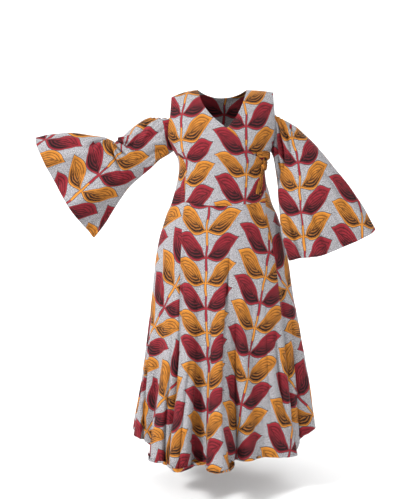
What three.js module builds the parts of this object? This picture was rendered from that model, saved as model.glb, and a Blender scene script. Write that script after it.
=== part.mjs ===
// Wrap dress in woven cotton: crossed V neck, open shoulders, bell sleeves, ankle-length flared skirt.
// Millimetres, +Z up, front towards -Y, +X towards the wearer's left. The origin lies midway between
// the two neck points of the shoulder seams.
import * as THREE from 'three';

// ---- Cloth and sewing ----
const WALL = 2;
const SEAM_GAP = 0.3;
const WAIST_GAP = 0.5;
const LAYER_STEP = 4.6;
const LAP_HALF = 20;
const ROUGHNESS = 0.85;
const TIE_WALL = 2;
const TIE_WIDTH = 22;
const TIE_CLEARANCE = 1;

// ---- Body of the garment: half widths to each side, depths to front and back, by drop below the neck ----
const GIRTHS = [
  { drop: 0, right: 203, left: 203, front: 92, back: 88, power: 2.3 },
  { drop: 60, right: 204, left: 203, front: 100, back: 98, power: 2.3 },
  { drop: 110, right: 204, left: 200, front: 111, back: 104, power: 2.3 },
  { drop: 156, right: 198, left: 193, front: 120, back: 107, power: 2.3 },
  { drop: 200, right: 178, left: 178, front: 122, back: 106, power: 2.3 },
  { drop: 214, right: 171, left: 172, front: 120, back: 105, power: 2.3 },
  { drop: 246, right: 156, left: 160, front: 113, back: 100, power: 2.3 },
  { drop: 276, right: 153, left: 152, front: 108, back: 97, power: 2.3 },
  { drop: 331, right: 161, left: 157, front: 106, back: 102, power: 2.25 },
  { drop: 388, right: 176, left: 171, front: 112, back: 114, power: 2.2 },
  { drop: 446, right: 200, left: 199, front: 121, back: 132, power: 2.2 },
  { drop: 532, right: 225, left: 223, front: 131, back: 152, power: 2.1 },
  { drop: 605, right: 238, left: 238, front: 138, back: 162, power: 2.1 },
  { drop: 752, right: 251, left: 261, front: 152, back: 180, power: 2.05 },
  { drop: 901, right: 267, left: 287, front: 168, back: 200, power: 2 },
  { drop: 1051, right: 285, left: 311, front: 184, back: 222, power: 2 },
  { drop: 1204, right: 309, left: 330, front: 198, back: 244, power: 2 },
  { drop: 1310, right: 323, left: 341, front: 207, back: 258, power: 2 },
];

// ---- Shoulders ----
const NECK_HALF = 87;
const SHOULDER_SLOPE = { right: 0.31, left: 0.16 };
const SLOPE_REACH = 210;
const ROLL_DEPTH = 110;
const ROLL_POWER = 0.62;
const BACK_NECK_DROP = 28;
const BACK_NECK_FADE = 120;
const NECK_TURN = 21.9;

// ---- Edges, as the turn about the vertical from the front centre, by drop ----
const UNDERARM_DROP = 214;
const FRONT_EDGE = [
  { drop: 0, turn: 59.5 },
  { drop: 50, turn: 60.5 },
  { drop: 100, turn: 64 },
  { drop: 150, turn: 70.5 },
  { drop: 185, turn: 77.5 },
  { drop: 205, turn: 84.5 },
  { drop: 214, turn: 90 },
  { drop: 219, turn: 79 },
  { drop: 228, turn: 67 },
  { drop: 245, turn: 57.5 },
  { drop: 275, turn: 52 },
  { drop: 311, turn: 54 },
  { drop: 383, turn: 47 },
  { drop: 469, turn: 40.5 },
  { drop: 541, turn: 38.2 },
  { drop: 688, turn: 36 },
  { drop: 988, turn: 33.5 },
  { drop: 1310, turn: 30.5 },
];
const OVER_EDGE = [
  { drop: 0, turn: -21.9 },
  { drop: 47, turn: -16.4 },
  { drop: 85, turn: -8.9 },
  { drop: 113, turn: -1.5 },
  { drop: 128, turn: 2.2 },
  { drop: 151, turn: 9.1 },
  { drop: 166, turn: 14.6 },
  { drop: 197, turn: 25.2 },
  { drop: 227, turn: 41 },
  { drop: 250, turn: 60 },
  { drop: 262, turn: 66 },
  { drop: 300, turn: 67 },
  { drop: 350, turn: 64 },
  { drop: 400, turn: 56 },
  { drop: 449, turn: 46.5 },
  { drop: 500, turn: 47.6 },
  { drop: 570, turn: 49.3 },
  { drop: 700, turn: 50.6 },
  { drop: 936, turn: 50 },
  { drop: 1154, turn: 49.5 },
  { drop: 1310, turn: 53.5 },
];

// ---- Waist seam and hem ----
const WAIST_DROP = 387;
const WAIST_DIP = 11;
const WAIST_DIP_HALF = 60;
const HEM = [
  { turn: -180, drop: 1302 },
  { turn: -130, drop: 1288 },
  { turn: -90, drop: 1244 },
  { turn: -68, drop: 1248 },
  { turn: -57, drop: 1272 },
  { turn: -50, drop: 1300 },
  { turn: -25, drop: 1302 },
  { turn: -14, drop: 1296 },
  { turn: -3, drop: 1304 },
  { turn: 8, drop: 1290 },
  { turn: 28, drop: 1288 },
  { turn: 53, drop: 1294 },
  { turn: 61, drop: 1262 },
  { turn: 67, drop: 1240 },
  { turn: 76, drop: 1227 },
  { turn: 90, drop: 1226 },
  { turn: 130, drop: 1284 },
  { turn: 180, drop: 1302 },
];
const UNDER_HEM_LIFT = 8;
const LONGEST = 1307;

// ---- Flutes of the skirt: where on the hem, half width in degrees, stand, where each starts ----
const FLUTES = [
  { turn: -89, half: 13, out: 14, start: 640 },
  { turn: -70, half: 10, out: 26, start: 560 },
  { turn: -57, half: 6, out: -18, start: 700 },
  { turn: -44, half: 10.5, out: 34, start: 600 },
  { turn: -25.6, half: 8.2, out: 56, start: 520 },
  { turn: -3.7, half: 8.6, out: 80, start: 540 },
  { turn: 8.5, half: 7, out: -34, start: 640 },
  { turn: 28, half: 14, out: -28, start: 620 },
  { turn: 60, half: 7, out: -14, start: 640 },
  { turn: 74, half: 11, out: 20, start: 560 },
  { turn: 94, half: 12, out: 12, start: 700 },
  { turn: 114, half: 12, out: 34, start: 620 },
  { turn: 137, half: 12, out: 50, start: 540 },
  { turn: 160, half: 11, out: 40, start: 660 },
  { turn: -178, half: 12, out: 54, start: 500 },
  { turn: -154, half: 12, out: 42, start: 620 },
  { turn: -130, half: 11, out: 52, start: 560 },
  { turn: -109, half: 10, out: 30, start: 680 },
];
const FLUTE_GROWTH = 1.25;
const FLUTE_FLARE = 0.24;

// ---- Sleeves: each section's chord from the top edge to the underside, as x, y and z at both ends,
//      the half depths near them, and how far in x and z the middle stands off the chord ----
const RIGHT_SLEEVE = [
  { top: [-252, 0, -101], low: [-172, 0, -213], depth: [56, 50], bend: [28, 50] },
  { top: [-272, 0, -105], low: [-192, 0, -227], depth: [64, 52], bend: [16, 28] },
  { top: [-298, 0, -119], low: [-221, 0, -244], depth: [66, 50], bend: [7, 13] },
  { top: [-328, -4, -141], low: [-256, 0, -277], depth: [66, 46], bend: [2, 4] },
  { top: [-354, -8, -167], low: [-290, 0, -305], depth: [62, 42], bend: [0, 0] },
  { top: [-380, -14, -180], low: [-326, -4, -337], depth: [60, 38], bend: [0, 0] },
  { top: [-414, -18, -166], low: [-358, -8, -378], depth: [62, 36], bend: [-2, -1] },
  { top: [-466, -22, -157], low: [-388, -12, -424], depth: [64, 36], bend: [-4, -2] },
  { top: [-530, -24, -150], low: [-412, -16, -462], depth: [66, 38], bend: [-6, -4] },
  { top: [-596, -26, -153], low: [-436, -20, -496], depth: [68, 40], bend: [-9, -6] },
  { top: [-655, -28, -166], low: [-456, -24, -521], depth: [70, 42], bend: [-12, -8] },
];
const LEFT_SLEEVE = [
  { top: [227, 0, -116], low: [173, 0, -213], depth: [56, 50], bend: [-20, 70] },
  { top: [259, -2, -133], low: [187, 0, -240], depth: [64, 50], bend: [-12, 24] },
  { top: [292, -6, -162], low: [196, -8, -278], depth: [66, 48], bend: [-4, 8] },
  { top: [328, -12, -195], low: [203, -22, -328], depth: [66, 44], bend: [0, 0] },
  { top: [365, -18, -236], low: [206, -42, -384], depth: [66, 40], bend: [0, 0] },
  { top: [404, -24, -283], low: [208, -62, -442], depth: [66, 38], bend: [0, -2] },
  { top: [447, -30, -340], low: [211, -80, -496], depth: [66, 38], bend: [-1, -5] },
  { top: [494, -34, -404], low: [219, -92, -544], depth: [68, 40], bend: [-2, -9] },
  { top: [543, -38, -486], low: [232, -100, -587], depth: [70, 42], bend: [-3, -14] },
];
const HEAD_TOP_DROP = 80;
const HOLE_DROP = 110;
const ROOT_STANDOFF = 2.7;
const ROOT_REACH = 0.14;
const GATHERS = 10;
const GATHER_DEPTH = 4;
const GATHER_REACH = 0.3;

// ---- Folds along each sleeve: turn round the section, half width, stand at the hem, where each starts ----
const RIGHT_SLEEVE_FOLDS = [
  { turn: 34, half: 24, out: 9, start: 0.5 },
  { turn: 76, half: 22, out: -13, start: 0.42 },
  { turn: 112, half: 22, out: 15, start: 0.36 },
  { turn: 148, half: 18, out: -12, start: 0.5 },
  { turn: 210, half: 20, out: -12, start: 0.45 },
  { turn: 248, half: 22, out: 14, start: 0.4 },
  { turn: 292, half: 24, out: -12, start: 0.5 },
];
const LEFT_SLEEVE_FOLDS = [
  { turn: 35, half: 24, out: 9, start: 0.5 },
  { turn: 74, half: 20, out: -14, start: 0.4 },
  { turn: 106, half: 20, out: 15, start: 0.35 },
  { turn: 136, half: 16, out: -14, start: 0.4 },
  { turn: 160, half: 14, out: 12, start: 0.4 },
  { turn: 208, half: 20, out: -10, start: 0.45 },
  { turn: 248, half: 24, out: 14, start: 0.4 },
  { turn: 294, half: 24, out: -12, start: 0.5 },
];

// ---- Tie ----
const KNOT = { turn: 60, drop: 263, across: 13, through: 8, high: 18 };
const FRONT_TIE = [
  { turn: 40, drop: 222, lift: 0 },
  { turn: 48, drop: 219, lift: 0 },
  { turn: 56, drop: 218, lift: 1 },
  { turn: 64, drop: 224, lift: 3 },
  { turn: 67, drop: 236, lift: 5 },
];
const BACK_TIE = [
  { turn: 76, drop: 262, lift: 2 },
  { turn: 100, drop: 261, lift: 0.6 },
  { turn: 140, drop: 259, lift: 0.3 },
  { turn: 180, drop: 258, lift: 0 },
  { turn: 220, drop: 259, lift: 0.3 },
  { turn: 258, drop: 262, lift: 0.3 },
];
const TIE_TAIL = [
  { turn: 57.5, drop: 284, lift: 2 },
  { turn: 55, drop: 305, lift: 0.5 },
  { turn: 51, drop: 332, lift: 0.3 },
  { turn: 46, drop: 362, lift: 0.5 },
];

// ---- Rows and columns of the cloth ----
const BODICE_DROPS = [0, 4, 15, 36, 80, 115, 150, 182, 204, 214, 221, 229, 238, 248, 262, 285, 318, 352, 387];
const SKIRT_ROWS = 10;
const FRONT_COLUMNS = 18;
const UPPER_LAP_COLUMNS = 4;
const LOWER_LAP_COLUMNS = 6;
const BACK_COLUMNS = 40;
const SLEEVE_TOP_COLUMNS = 30;
const SLEEVE_LOW_COLUMNS = 20;
const SLEEVE_ROWS = 10;
const SLEEVE_CROWDING = 1.25;
const ALONG_STEP = 0.004;

// Where the columns of the back stop being even, and where they have reached the edges of the wrap.
const SPREAD_END = 300;
const LATTICE_START = 460;
const TIE_LEVEL = 262;

const GREY = 0xb9b8bd;
const RED = 0x8c2432;
const ORANGE = 0xd98a26;
const DEG = Math.PI / 180;

// ---- Small functions ----
const clamp = (value, low, high) => Math.min(high, Math.max(low, value));
const mix = (a, b, t) => a + (b - a) * t;
const smooth = (t) => {
  const c = clamp(t, 0, 1);
  return c * c * (3 - 2 * c);
};
const wrapTurn = (turn) => turn - 360 * Math.round(turn / 360);

// A smooth curve through one column of a table, with no overshoot.
function curveThrough(xs, ys) {
  const steps = xs.slice(1).map((x, i) => (ys[i + 1] - ys[i]) / (x - xs[i]));
  const slopes = xs.map((_, i) => {
    if (i === 0) return steps[0];
    if (i === xs.length - 1) return steps[i - 1];
    if (steps[i - 1] * steps[i] <= 0) return 0;
    return (2 * steps[i - 1] * steps[i]) / (steps[i - 1] + steps[i]);
  });
  return (x) => {
    const inside = clamp(x, xs[0], xs[xs.length - 1]);
    let i = 0;
    while (i < xs.length - 2 && inside > xs[i + 1]) i += 1;
    const width = xs[i + 1] - xs[i];
    const t = (inside - xs[i]) / width;
    const ends = ys[i] * (1 + 2 * t) * (1 - t) ** 2 + ys[i + 1] * t * t * (3 - 2 * t);
    return ends + width * t * (1 - t) * (slopes[i] * (1 - t) - slopes[i + 1] * t);
  };
}
const byKey = (rows, key, name) => curveThrough(rows.map((row) => row[key]), rows.map((row) => row[name]));
const alongRows = (rows, valueOf) => (
  curveThrough(rows.map((_, i) => i / (rows.length - 1)), rows.map(valueOf))
);

// ---- The body surface ----
const girth = {};
for (const name of ['right', 'left', 'front', 'back', 'power']) girth[name] = byKey(GIRTHS, 'drop', name);
const frontEdge = byKey(FRONT_EDGE, 'drop', 'turn');
const overEdge = byKey(OVER_EDGE, 'drop', 'turn');
const hemDrop = byKey(HEM, 'turn', 'drop');

// The waist seam dips towards the front centre.
function waistDrop(turn) {
  const t = clamp(wrapTurn(turn) / WAIST_DIP_HALF, -1, 1);
  return WAIST_DROP + (WAIST_DIP * (1 + Math.cos(Math.PI * t))) / 2;
}

// The sum of the skirt's flutes: their stand outwards and their shift along the hem.
function flutesAt(turn, drop) {
  let out = 0;
  let along = 0;
  for (const flute of FLUTES) {
    const t = wrapTurn(turn - flute.turn) / flute.half;
    if (Math.abs(t) >= 1 || drop <= flute.start) continue;
    const stand = flute.out * ((drop - flute.start) / (LONGEST - flute.start)) ** FLUTE_GROWTH;
    out += stand * Math.cos((Math.PI * t) / 2) ** 2;
    along += stand * FLUTE_FLARE * Math.sin(Math.PI * t);
  }
  return { out, along };
}

function bodyPoint(turn, drop) {
  const sine = Math.sin(turn * DEG);
  const cosine = Math.cos(turn * DEG);
  const bend = 2 / girth.power(drop);
  const halfWidth = sine < 0 ? girth.right(drop) : girth.left(drop);
  const depth = cosine > 0 ? girth.front(drop) : girth.back(drop);
  const roll = (1 - (1 - clamp(drop / ROLL_DEPTH, 0, 1)) ** 2) ** ROLL_POWER;
  const x = halfWidth * Math.sign(sine) * Math.abs(sine) ** bend;
  const y = -depth * roll * Math.sign(cosine) * Math.abs(cosine) ** bend;
  const fall = sine < 0 ? SHOULDER_SLOPE.right : SHOULDER_SLOPE.left;
  const slope = fall * Math.max(0, Math.abs(x) - NECK_HALF) * smooth(1 - drop / SLOPE_REACH);
  const { out, along } = flutesAt(turn, drop);
  const square = new THREE.Vector2(sine / halfWidth, -cosine / depth).normalize();
  return new THREE.Vector3(
    x + square.x * out - square.y * along,
    y + square.y * out + square.x * along,
    -drop - slope,
  );
}

function normalOf(surface, u, v, stepU, stepV) {
  const across = surface(u + stepU, v).sub(surface(u - stepU, v));
  const down = surface(u, v + stepV).sub(surface(u, v - stepV));
  return down.cross(across).normalize();
}

// The body surface moved out by a distance, square to it.
function bodyOffset(turn, drop, distance) {
  const normal = normalOf(bodyPoint, turn, Math.max(drop, 2), 0.4, 1);
  if (drop < 1) normal.setY(0).normalize();
  return bodyPoint(turn, drop).addScaledVector(normal, distance);
}

// ---- Walls of cloth ----
// A wall between an outer and an inner grid of points, closed along its rim. side is 0.5 on the outer
// face and -0.5 on the inner one. A round wall joins its last column to its first.
function wall(name, columns, rows, pointAt, colour, round = false) {
  const wide = round ? columns : columns + 1;
  const points = [];
  for (const side of [0.5, -0.5]) {
    for (let j = 0; j <= rows; j += 1) {
      for (let i = 0; i < wide; i += 1) points.push(...pointAt(i, j, side).toArray());
    }
  }
  const at = (face, i, j) => (face * (rows + 1) + j) * wide + (i % wide);
  const triangles = [];
  const quad = (a, b, c, d) => triangles.push(a, b, c, a, c, d);
  for (let j = 0; j < rows; j += 1) {
    for (let i = 0; i < columns; i += 1) {
      quad(at(0, i, j), at(0, i, j + 1), at(0, i + 1, j + 1), at(0, i + 1, j));
      quad(at(1, i, j), at(1, i + 1, j), at(1, i + 1, j + 1), at(1, i, j + 1));
    }
  }
  for (let i = 0; i < columns; i += 1) {
    quad(at(0, i, 0), at(0, i + 1, 0), at(1, i + 1, 0), at(1, i, 0));
    quad(at(0, i, rows), at(1, i, rows), at(1, i + 1, rows), at(0, i + 1, rows));
  }
  for (let j = 0; j < rows && !round; j += 1) {
    quad(at(0, 0, j), at(1, 0, j), at(1, 0, j + 1), at(0, 0, j + 1));
    quad(at(0, columns, j), at(0, columns, j + 1), at(1, columns, j + 1), at(1, columns, j));
  }
  const geometry = new THREE.BufferGeometry();
  geometry.setAttribute('position', new THREE.Float32BufferAttribute(points, 3));
  geometry.setIndex(triangles);
  return solid(name, geometry, colour);
}

function solid(name, geometry, colour) {
  geometry.computeVertexNormals();
  const cloth = new THREE.MeshStandardMaterial({ color: colour, roughness: ROUGHNESS, metalness: 0 });
  const mesh = new THREE.Mesh(geometry, cloth);
  mesh.name = name;
  return mesh;
}

// ---- Panels of the body ----
// The wrap's upper front stands one layer off the body surface on the wearer's left, and its lower front
// lies one layer under the upper one.
const upperLift = (turn) => LAYER_STEP * smooth((wrapTurn(turn) + LAP_HALF) / (2 * LAP_HALF));
const lowerLift = (turn) => upperLift(turn) - LAYER_STEP;
const noLift = () => 0;

const lastBodiceRow = BODICE_DROPS.length - 1;
const bodiceRow = (turn, j) => (BODICE_DROPS[j] * waistDrop(turn)) / WAIST_DROP;
const skirtRow = (turn, j) => mix(waistDrop(turn), hemDrop(wrapTurn(turn)), j / SKIRT_ROWS);

function backRow(turn, j) {
  if (j > lastBodiceRow) return skirtRow(turn, j - lastBodiceRow);
  const drop = bodiceRow(turn, j);
  const t = wrapTurn(turn - 180) / NECK_TURN;
  return drop + BACK_NECK_DROP * Math.max(0, 1 - t * t) * Math.max(0, 1 - drop / BACK_NECK_FADE);
}

// The turn where a row meets an edge, found by going back and forth between the two.
function edgeTurn(edge, rowAt, j) {
  let turn = edge(rowAt(90, j));
  for (let round = 0; round < 8; round += 1) turn = edge(rowAt(turn, j));
  return turn;
}

const millimetresPerDegree = (turn, drop) => (
  bodyPoint(turn - 0.5, drop).distanceTo(bodyPoint(turn + 0.5, drop))
);

// A panel of cloth. Its columns are spread evenly between stops, each the turn at a drop, so that panels
// that lie on each other can share their columns. The first and last stop are its edges.
function panel(name, { stops, counts, rows, rowAt, lift, topTrim = 0, lowTrim = 0, colour }) {
  const columns = counts.reduce((sum, count) => sum + count, 0);
  const grid = [];
  for (let j = 0; j <= rows; j += 1) {
    const turns = stops.map((stop) => edgeTurn(stop, rowAt, j));
    const line = [];
    counts.forEach((count, k) => {
      for (let i = 0; i < count; i += 1) line.push(mix(turns[k], turns[k + 1], i / count));
    });
    line.push(turns[counts.length]);
    const trimAt = (turn) => SEAM_GAP / 2 / millimetresPerDegree(turn, rowAt(turn, j));
    line[0] += trimAt(line[0]);
    line[columns] -= trimAt(line[columns]);
    grid.push(line);
  }
  return wall(name, columns, rows, (i, j, side) => {
    const turn = grid[j][i];
    const trim = (j === 0 ? topTrim : 0) - (j === rows ? lowTrim : 0);
    return bodyOffset(turn, rowAt(turn, j) + trim, lift(turn) + side * WALL);
  }, colour);
}

// ---- Sleeves ----
// A sleeve is a ring of points round its chord, carried along it. The turn is 0 at the top edge, 90 in
// front, 180 on the underside and 270 behind.
function sleeveSurface(rows, folds, hand) {
  const shape = {};
  for (const [name, values] of Object.entries(rows[0])) {
    shape[name] = values.map((_, k) => alongRows(rows, (row) => row[name][k]));
  }

  const section = (turn, along) => {
    const value = (name) => shape[name].map((curve) => curve(along));
    const top = new THREE.Vector3(...value('top'));
    const low = new THREE.Vector3(...value('low'));
    const [topDepth, lowDepth] = value('depth');
    const [bendX, bendZ] = value('bend');
    const sine = Math.sin(turn * DEG);
    const cosine = Math.cos(turn * DEG);
    const lowShare = (1 - cosine) / 2;
    const depth = mix(topDepth, lowDepth, lowShare);
    const point = top.clone().lerp(low, lowShare);
    const chord = low.clone().sub(top);
    const half = chord.length() / 2;
    const square = chord.normalize().multiplyScalar(-cosine / half);
    square.y -= sine / depth;
    point.add(new THREE.Vector3(bendX, 0, bendZ).multiplyScalar(sine * sine));
    point.y -= depth * sine;
    let stand = 0;
    for (const fold of folds) {
      const t = ((((turn - fold.turn + 180) % 360) + 360) % 360 - 180) / fold.half;
      if (Math.abs(t) >= 1 || along <= fold.start) continue;
      stand += fold.out * smooth((along - fold.start) / (1 - fold.start)) * Math.cos((Math.PI * t) / 2) ** 2;
    }
    const ripple = GATHER_DEPTH * Math.max(0, 1 - along / GATHER_REACH) ** 1.5 * Math.max(0, cosine) ** 0.5;
    stand += ripple * Math.cos(2 * GATHERS * turn * DEG);
    return point.addScaledVector(square.normalize(), stand);
  };

  // The root follows the armhole from its front end under the arm to its back end, and arches over the
  // top of the arm between them as a free edge.
  const hole = bodyPoint(90 * hand, HOLE_DROP);
  const armholeRows = BODICE_DROPS.filter((drop) => drop >= HEAD_TOP_DROP && drop <= UNDERARM_DROP);
  const armholePoint = (row, behind) => {
    const drop = armholeRows[row];
    const edge = behind ? 180 - frontEdge(drop) : frontEdge(drop);
    const point = bodyPoint(edge * hand, drop);
    return point.addScaledVector(hole.clone().sub(point).normalize(), ROOT_STANDOFF);
  };
  const armhole = (turn) => {
    const place = (1 - Math.abs(turn - 180) / 90) * (armholeRows.length - 1);
    const row = Math.min(Math.floor(place), armholeRows.length - 2);
    return armholePoint(row, turn > 180).lerp(armholePoint(row + 1, turn > 180), place - row);
  };
  const root = (turn) => {
    const round = ((turn % 360) + 360) % 360;
    if (round >= 90 && round <= 270) return armhole(round);
    const end = armhole(round < 90 ? 90 : 270);
    const top = section(0, 0);
    const cosine = Math.cos(round * DEG);
    const free = end.clone().lerp(top, cosine);
    free.y = end.y * Math.abs(Math.sin(round * DEG));
    const ripple = GATHER_DEPTH * Math.sqrt(cosine) * Math.cos(2 * GATHERS * round * DEG);
    return free.add(new THREE.Vector3(hand * ripple * 0.4, 0, ripple * 0.9));
  };

  return (turn, along) => {
    const fade = 1 - smooth(along / ROOT_REACH);
    const point = section(turn, Math.max(0, along));
    if (fade <= 0) return point;
    return point.add(root(turn).sub(section(turn, 0)).multiplyScalar(fade));
  };
}

function sleeveMesh(name, rows, folds, hand, colour) {
  const surface = sleeveSurface(rows, folds, hand);
  const columns = SLEEVE_TOP_COLUMNS + SLEEVE_LOW_COLUMNS;
  const turnAt = (i) => {
    const turn = i < SLEEVE_TOP_COLUMNS
      ? -90 + (180 * i) / SLEEVE_TOP_COLUMNS
      : 90 + (180 * (i - SLEEVE_TOP_COLUMNS)) / SLEEVE_LOW_COLUMNS;
    return -hand * turn;
  };
  return wall(name, columns, SLEEVE_ROWS, (i, j, side) => {
    const turn = turnAt(i);
    const along = (j / SLEEVE_ROWS) ** SLEEVE_CROWDING;
    const normal = normalOf(surface, turn, Math.max(along, ALONG_STEP), 1, ALONG_STEP).multiplyScalar(-hand);
    return surface(turn, along).addScaledVector(normal, side * WALL);
  }, colour, true);
}

// ---- Tie ----
const tieLift = WALL / 2 + TIE_CLEARANCE + TIE_WALL / 2;

// A band along a path on the body surface, with its width square to the path.
function band(name, path, stepsAlong, stepsAcross, base, colour) {
  const at = {};
  for (const key of ['turn', 'drop', 'lift']) at[key] = alongRows(path, (row) => row[key]);
  return wall(name, stepsAcross, stepsAlong, (i, j, side) => {
    const share = j / stepsAlong;
    const turn = at.turn(share);
    const drop = at.drop(share);
    const scale = millimetresPerDegree(turn, drop);
    const ahead = new THREE.Vector2(
      (at.turn(share + 0.01) - at.turn(share - 0.01)) * scale,
      at.drop(share + 0.01) - at.drop(share - 0.01),
    ).normalize();
    const offset = TIE_WIDTH * (i / stepsAcross - 0.5);
    const sideTurn = turn + (ahead.y * offset) / scale;
    const sideDrop = drop - ahead.x * offset;
    return bodyOffset(sideTurn, sideDrop, base + at.lift(share) + side * TIE_WALL);
  }, colour);
}

function knotMesh() {
  const geometry = new THREE.SphereGeometry(1, 14, 10);
  geometry.scale(KNOT.across, KNOT.high, KNOT.through);
  const mesh = solid('tie_knot', geometry, ORANGE);
  const surface = bodyPoint(KNOT.turn, KNOT.drop);
  const normal = normalOf(bodyPoint, KNOT.turn, KNOT.drop, 0.4, 1);
  mesh.position.copy(surface).addScaledVector(normal, LAYER_STEP + WALL / 2 + TIE_CLEARANCE + KNOT.through);
  mesh.up.set(0, 0, 1);
  mesh.lookAt(mesh.position.clone().add(normal.setZ(0)));
  return mesh;
}

// ---- The dress ----
const rightSeam = (drop) => -frontEdge(drop);
const leftSeam = (drop) => frontEdge(drop);
const upperEdge = (drop) => overEdge(drop);
const lowerEdge = (drop) => -overEdge(drop);

// In the skirt the columns of all layers meet the seams and the edges of the wrap. Above it they spread
// evenly, and the stops between move from one to the other.
const toSkirt = (drop, start, end) => smooth((drop - start) / (end - start));
const backColumns = UPPER_LAP_COLUMNS + BACK_COLUMNS + LOWER_LAP_COLUMNS;
const backEdges = [
  (drop) => (drop < UNDERARM_DROP ? 180 - frontEdge(drop) : leftSeam(drop)),
  (drop) => (drop < UNDERARM_DROP ? 180 + frontEdge(drop) : 360 + rightSeam(drop)),
];
const backStop = (count, skirtStop) => (drop) => {
  const even = mix(backEdges[0](drop), backEdges[1](drop), count / backColumns);
  return mix(even, skirtStop(drop), toSkirt(drop, SPREAD_END, LATTICE_START));
};
const frontStop = (first, last, share, seam) => (drop) => (
  mix(mix(first(drop), last(drop), share), seam(drop), toSkirt(drop, TIE_LEVEL, WAIST_DROP))
);
const upperShare = FRONT_COLUMNS / (FRONT_COLUMNS + UPPER_LAP_COLUMNS);
const lowerShare = LOWER_LAP_COLUMNS / (FRONT_COLUMNS + LOWER_LAP_COLUMNS);

const dress = new THREE.Group();
dress.add(
  panel('back', {
    stops: [
      backEdges[0],
      backStop(UPPER_LAP_COLUMNS, upperEdge),
      backStop(UPPER_LAP_COLUMNS + BACK_COLUMNS, (drop) => 360 + lowerEdge(drop)),
      backEdges[1],
    ],
    counts: [UPPER_LAP_COLUMNS, BACK_COLUMNS, LOWER_LAP_COLUMNS],
    rows: lastBodiceRow + SKIRT_ROWS,
    rowAt: backRow,
    lift: noLift,
    colour: GREY,
  }),
  panel('front_bodice_right', {
    stops: [rightSeam, frontStop(rightSeam, upperEdge, upperShare, leftSeam), upperEdge],
    counts: [FRONT_COLUMNS / 2, UPPER_LAP_COLUMNS / 2],
    rows: lastBodiceRow,
    rowAt: bodiceRow,
    lift: upperLift,
    lowTrim: WAIST_GAP / 2,
    colour: RED,
  }),
  panel('front_bodice_left', {
    stops: [lowerEdge, frontStop(lowerEdge, leftSeam, lowerShare, rightSeam), leftSeam],
    counts: [LOWER_LAP_COLUMNS / 2, FRONT_COLUMNS / 2],
    rows: lastBodiceRow,
    rowAt: bodiceRow,
    lift: lowerLift,
    lowTrim: WAIST_GAP / 2,
    colour: ORANGE,
  }),
  panel('skirt_front_right', {
    stops: [rightSeam, leftSeam, upperEdge],
    counts: [FRONT_COLUMNS, UPPER_LAP_COLUMNS],
    rows: SKIRT_ROWS,
    rowAt: skirtRow,
    lift: upperLift,
    topTrim: WAIST_GAP / 2,
    colour: ORANGE,
  }),
  panel('skirt_front_left', {
    stops: [lowerEdge, rightSeam, leftSeam],
    counts: [LOWER_LAP_COLUMNS, FRONT_COLUMNS],
    rows: SKIRT_ROWS,
    rowAt: skirtRow,
    lift: lowerLift,
    topTrim: WAIST_GAP / 2,
    lowTrim: UNDER_HEM_LIFT,
    colour: RED,
  }),
  sleeveMesh('sleeve_right', RIGHT_SLEEVE, RIGHT_SLEEVE_FOLDS, -1, ORANGE),
  sleeveMesh('sleeve_left', LEFT_SLEEVE, LEFT_SLEEVE_FOLDS, 1, RED),
  band('tie_front', FRONT_TIE, 7, 2, LAYER_STEP + tieLift, ORANGE),
  band('tie_back', BACK_TIE, 32, 2, tieLift, RED),
  band('tie_tail', TIE_TAIL, 6, 2, LAYER_STEP + tieLift, ORANGE),
  knotMesh(),
);

export default dress;
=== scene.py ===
import math

import bpy
import numpy as np
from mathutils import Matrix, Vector


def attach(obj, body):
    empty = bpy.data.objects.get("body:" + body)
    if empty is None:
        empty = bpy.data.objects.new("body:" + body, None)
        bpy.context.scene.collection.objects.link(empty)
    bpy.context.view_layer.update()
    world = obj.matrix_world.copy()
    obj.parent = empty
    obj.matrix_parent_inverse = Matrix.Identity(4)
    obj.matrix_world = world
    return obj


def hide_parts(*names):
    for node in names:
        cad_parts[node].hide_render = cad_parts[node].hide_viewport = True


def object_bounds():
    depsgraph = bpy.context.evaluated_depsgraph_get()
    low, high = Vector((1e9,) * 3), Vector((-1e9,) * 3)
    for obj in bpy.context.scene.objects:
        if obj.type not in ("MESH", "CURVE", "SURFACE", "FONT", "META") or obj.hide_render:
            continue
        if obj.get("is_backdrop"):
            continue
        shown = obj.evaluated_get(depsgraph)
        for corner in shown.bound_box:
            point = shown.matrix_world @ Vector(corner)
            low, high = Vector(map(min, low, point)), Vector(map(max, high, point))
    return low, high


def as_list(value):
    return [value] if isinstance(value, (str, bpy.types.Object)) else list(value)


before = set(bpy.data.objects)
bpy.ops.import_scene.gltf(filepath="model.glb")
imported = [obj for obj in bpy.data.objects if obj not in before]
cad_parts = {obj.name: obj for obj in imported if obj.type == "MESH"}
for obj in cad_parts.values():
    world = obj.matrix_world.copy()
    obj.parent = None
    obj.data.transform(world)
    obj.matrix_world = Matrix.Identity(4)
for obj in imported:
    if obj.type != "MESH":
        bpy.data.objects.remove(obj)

CAD_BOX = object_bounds()

# Wrap dress in woven cotton. The tables are in millimetres and degrees, the objects in metres. A turn is
# taken about the vertical from the front centre towards the wearer's left, a drop downwards from the neck.
MM = 0.001

# ---- Cloth ----
THICK = 1.2
LAYER_STEP = 4.6
LAP_HALF = 20
SEAM_GAP = 0.3
SEAM_SINK = 0.9
SEAM_SOFT = 3.2
WAIST_TRIM = 0.25
TURNED_IN = 12
TURNED_SOFT = 3
TURNED_THICK = 0.8
# the creases fade out over this much below the shoulder seams, and over this share of a sleeve
SHOULDER_CALM = 40
SLEEVE_CALM = 0.04

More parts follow.
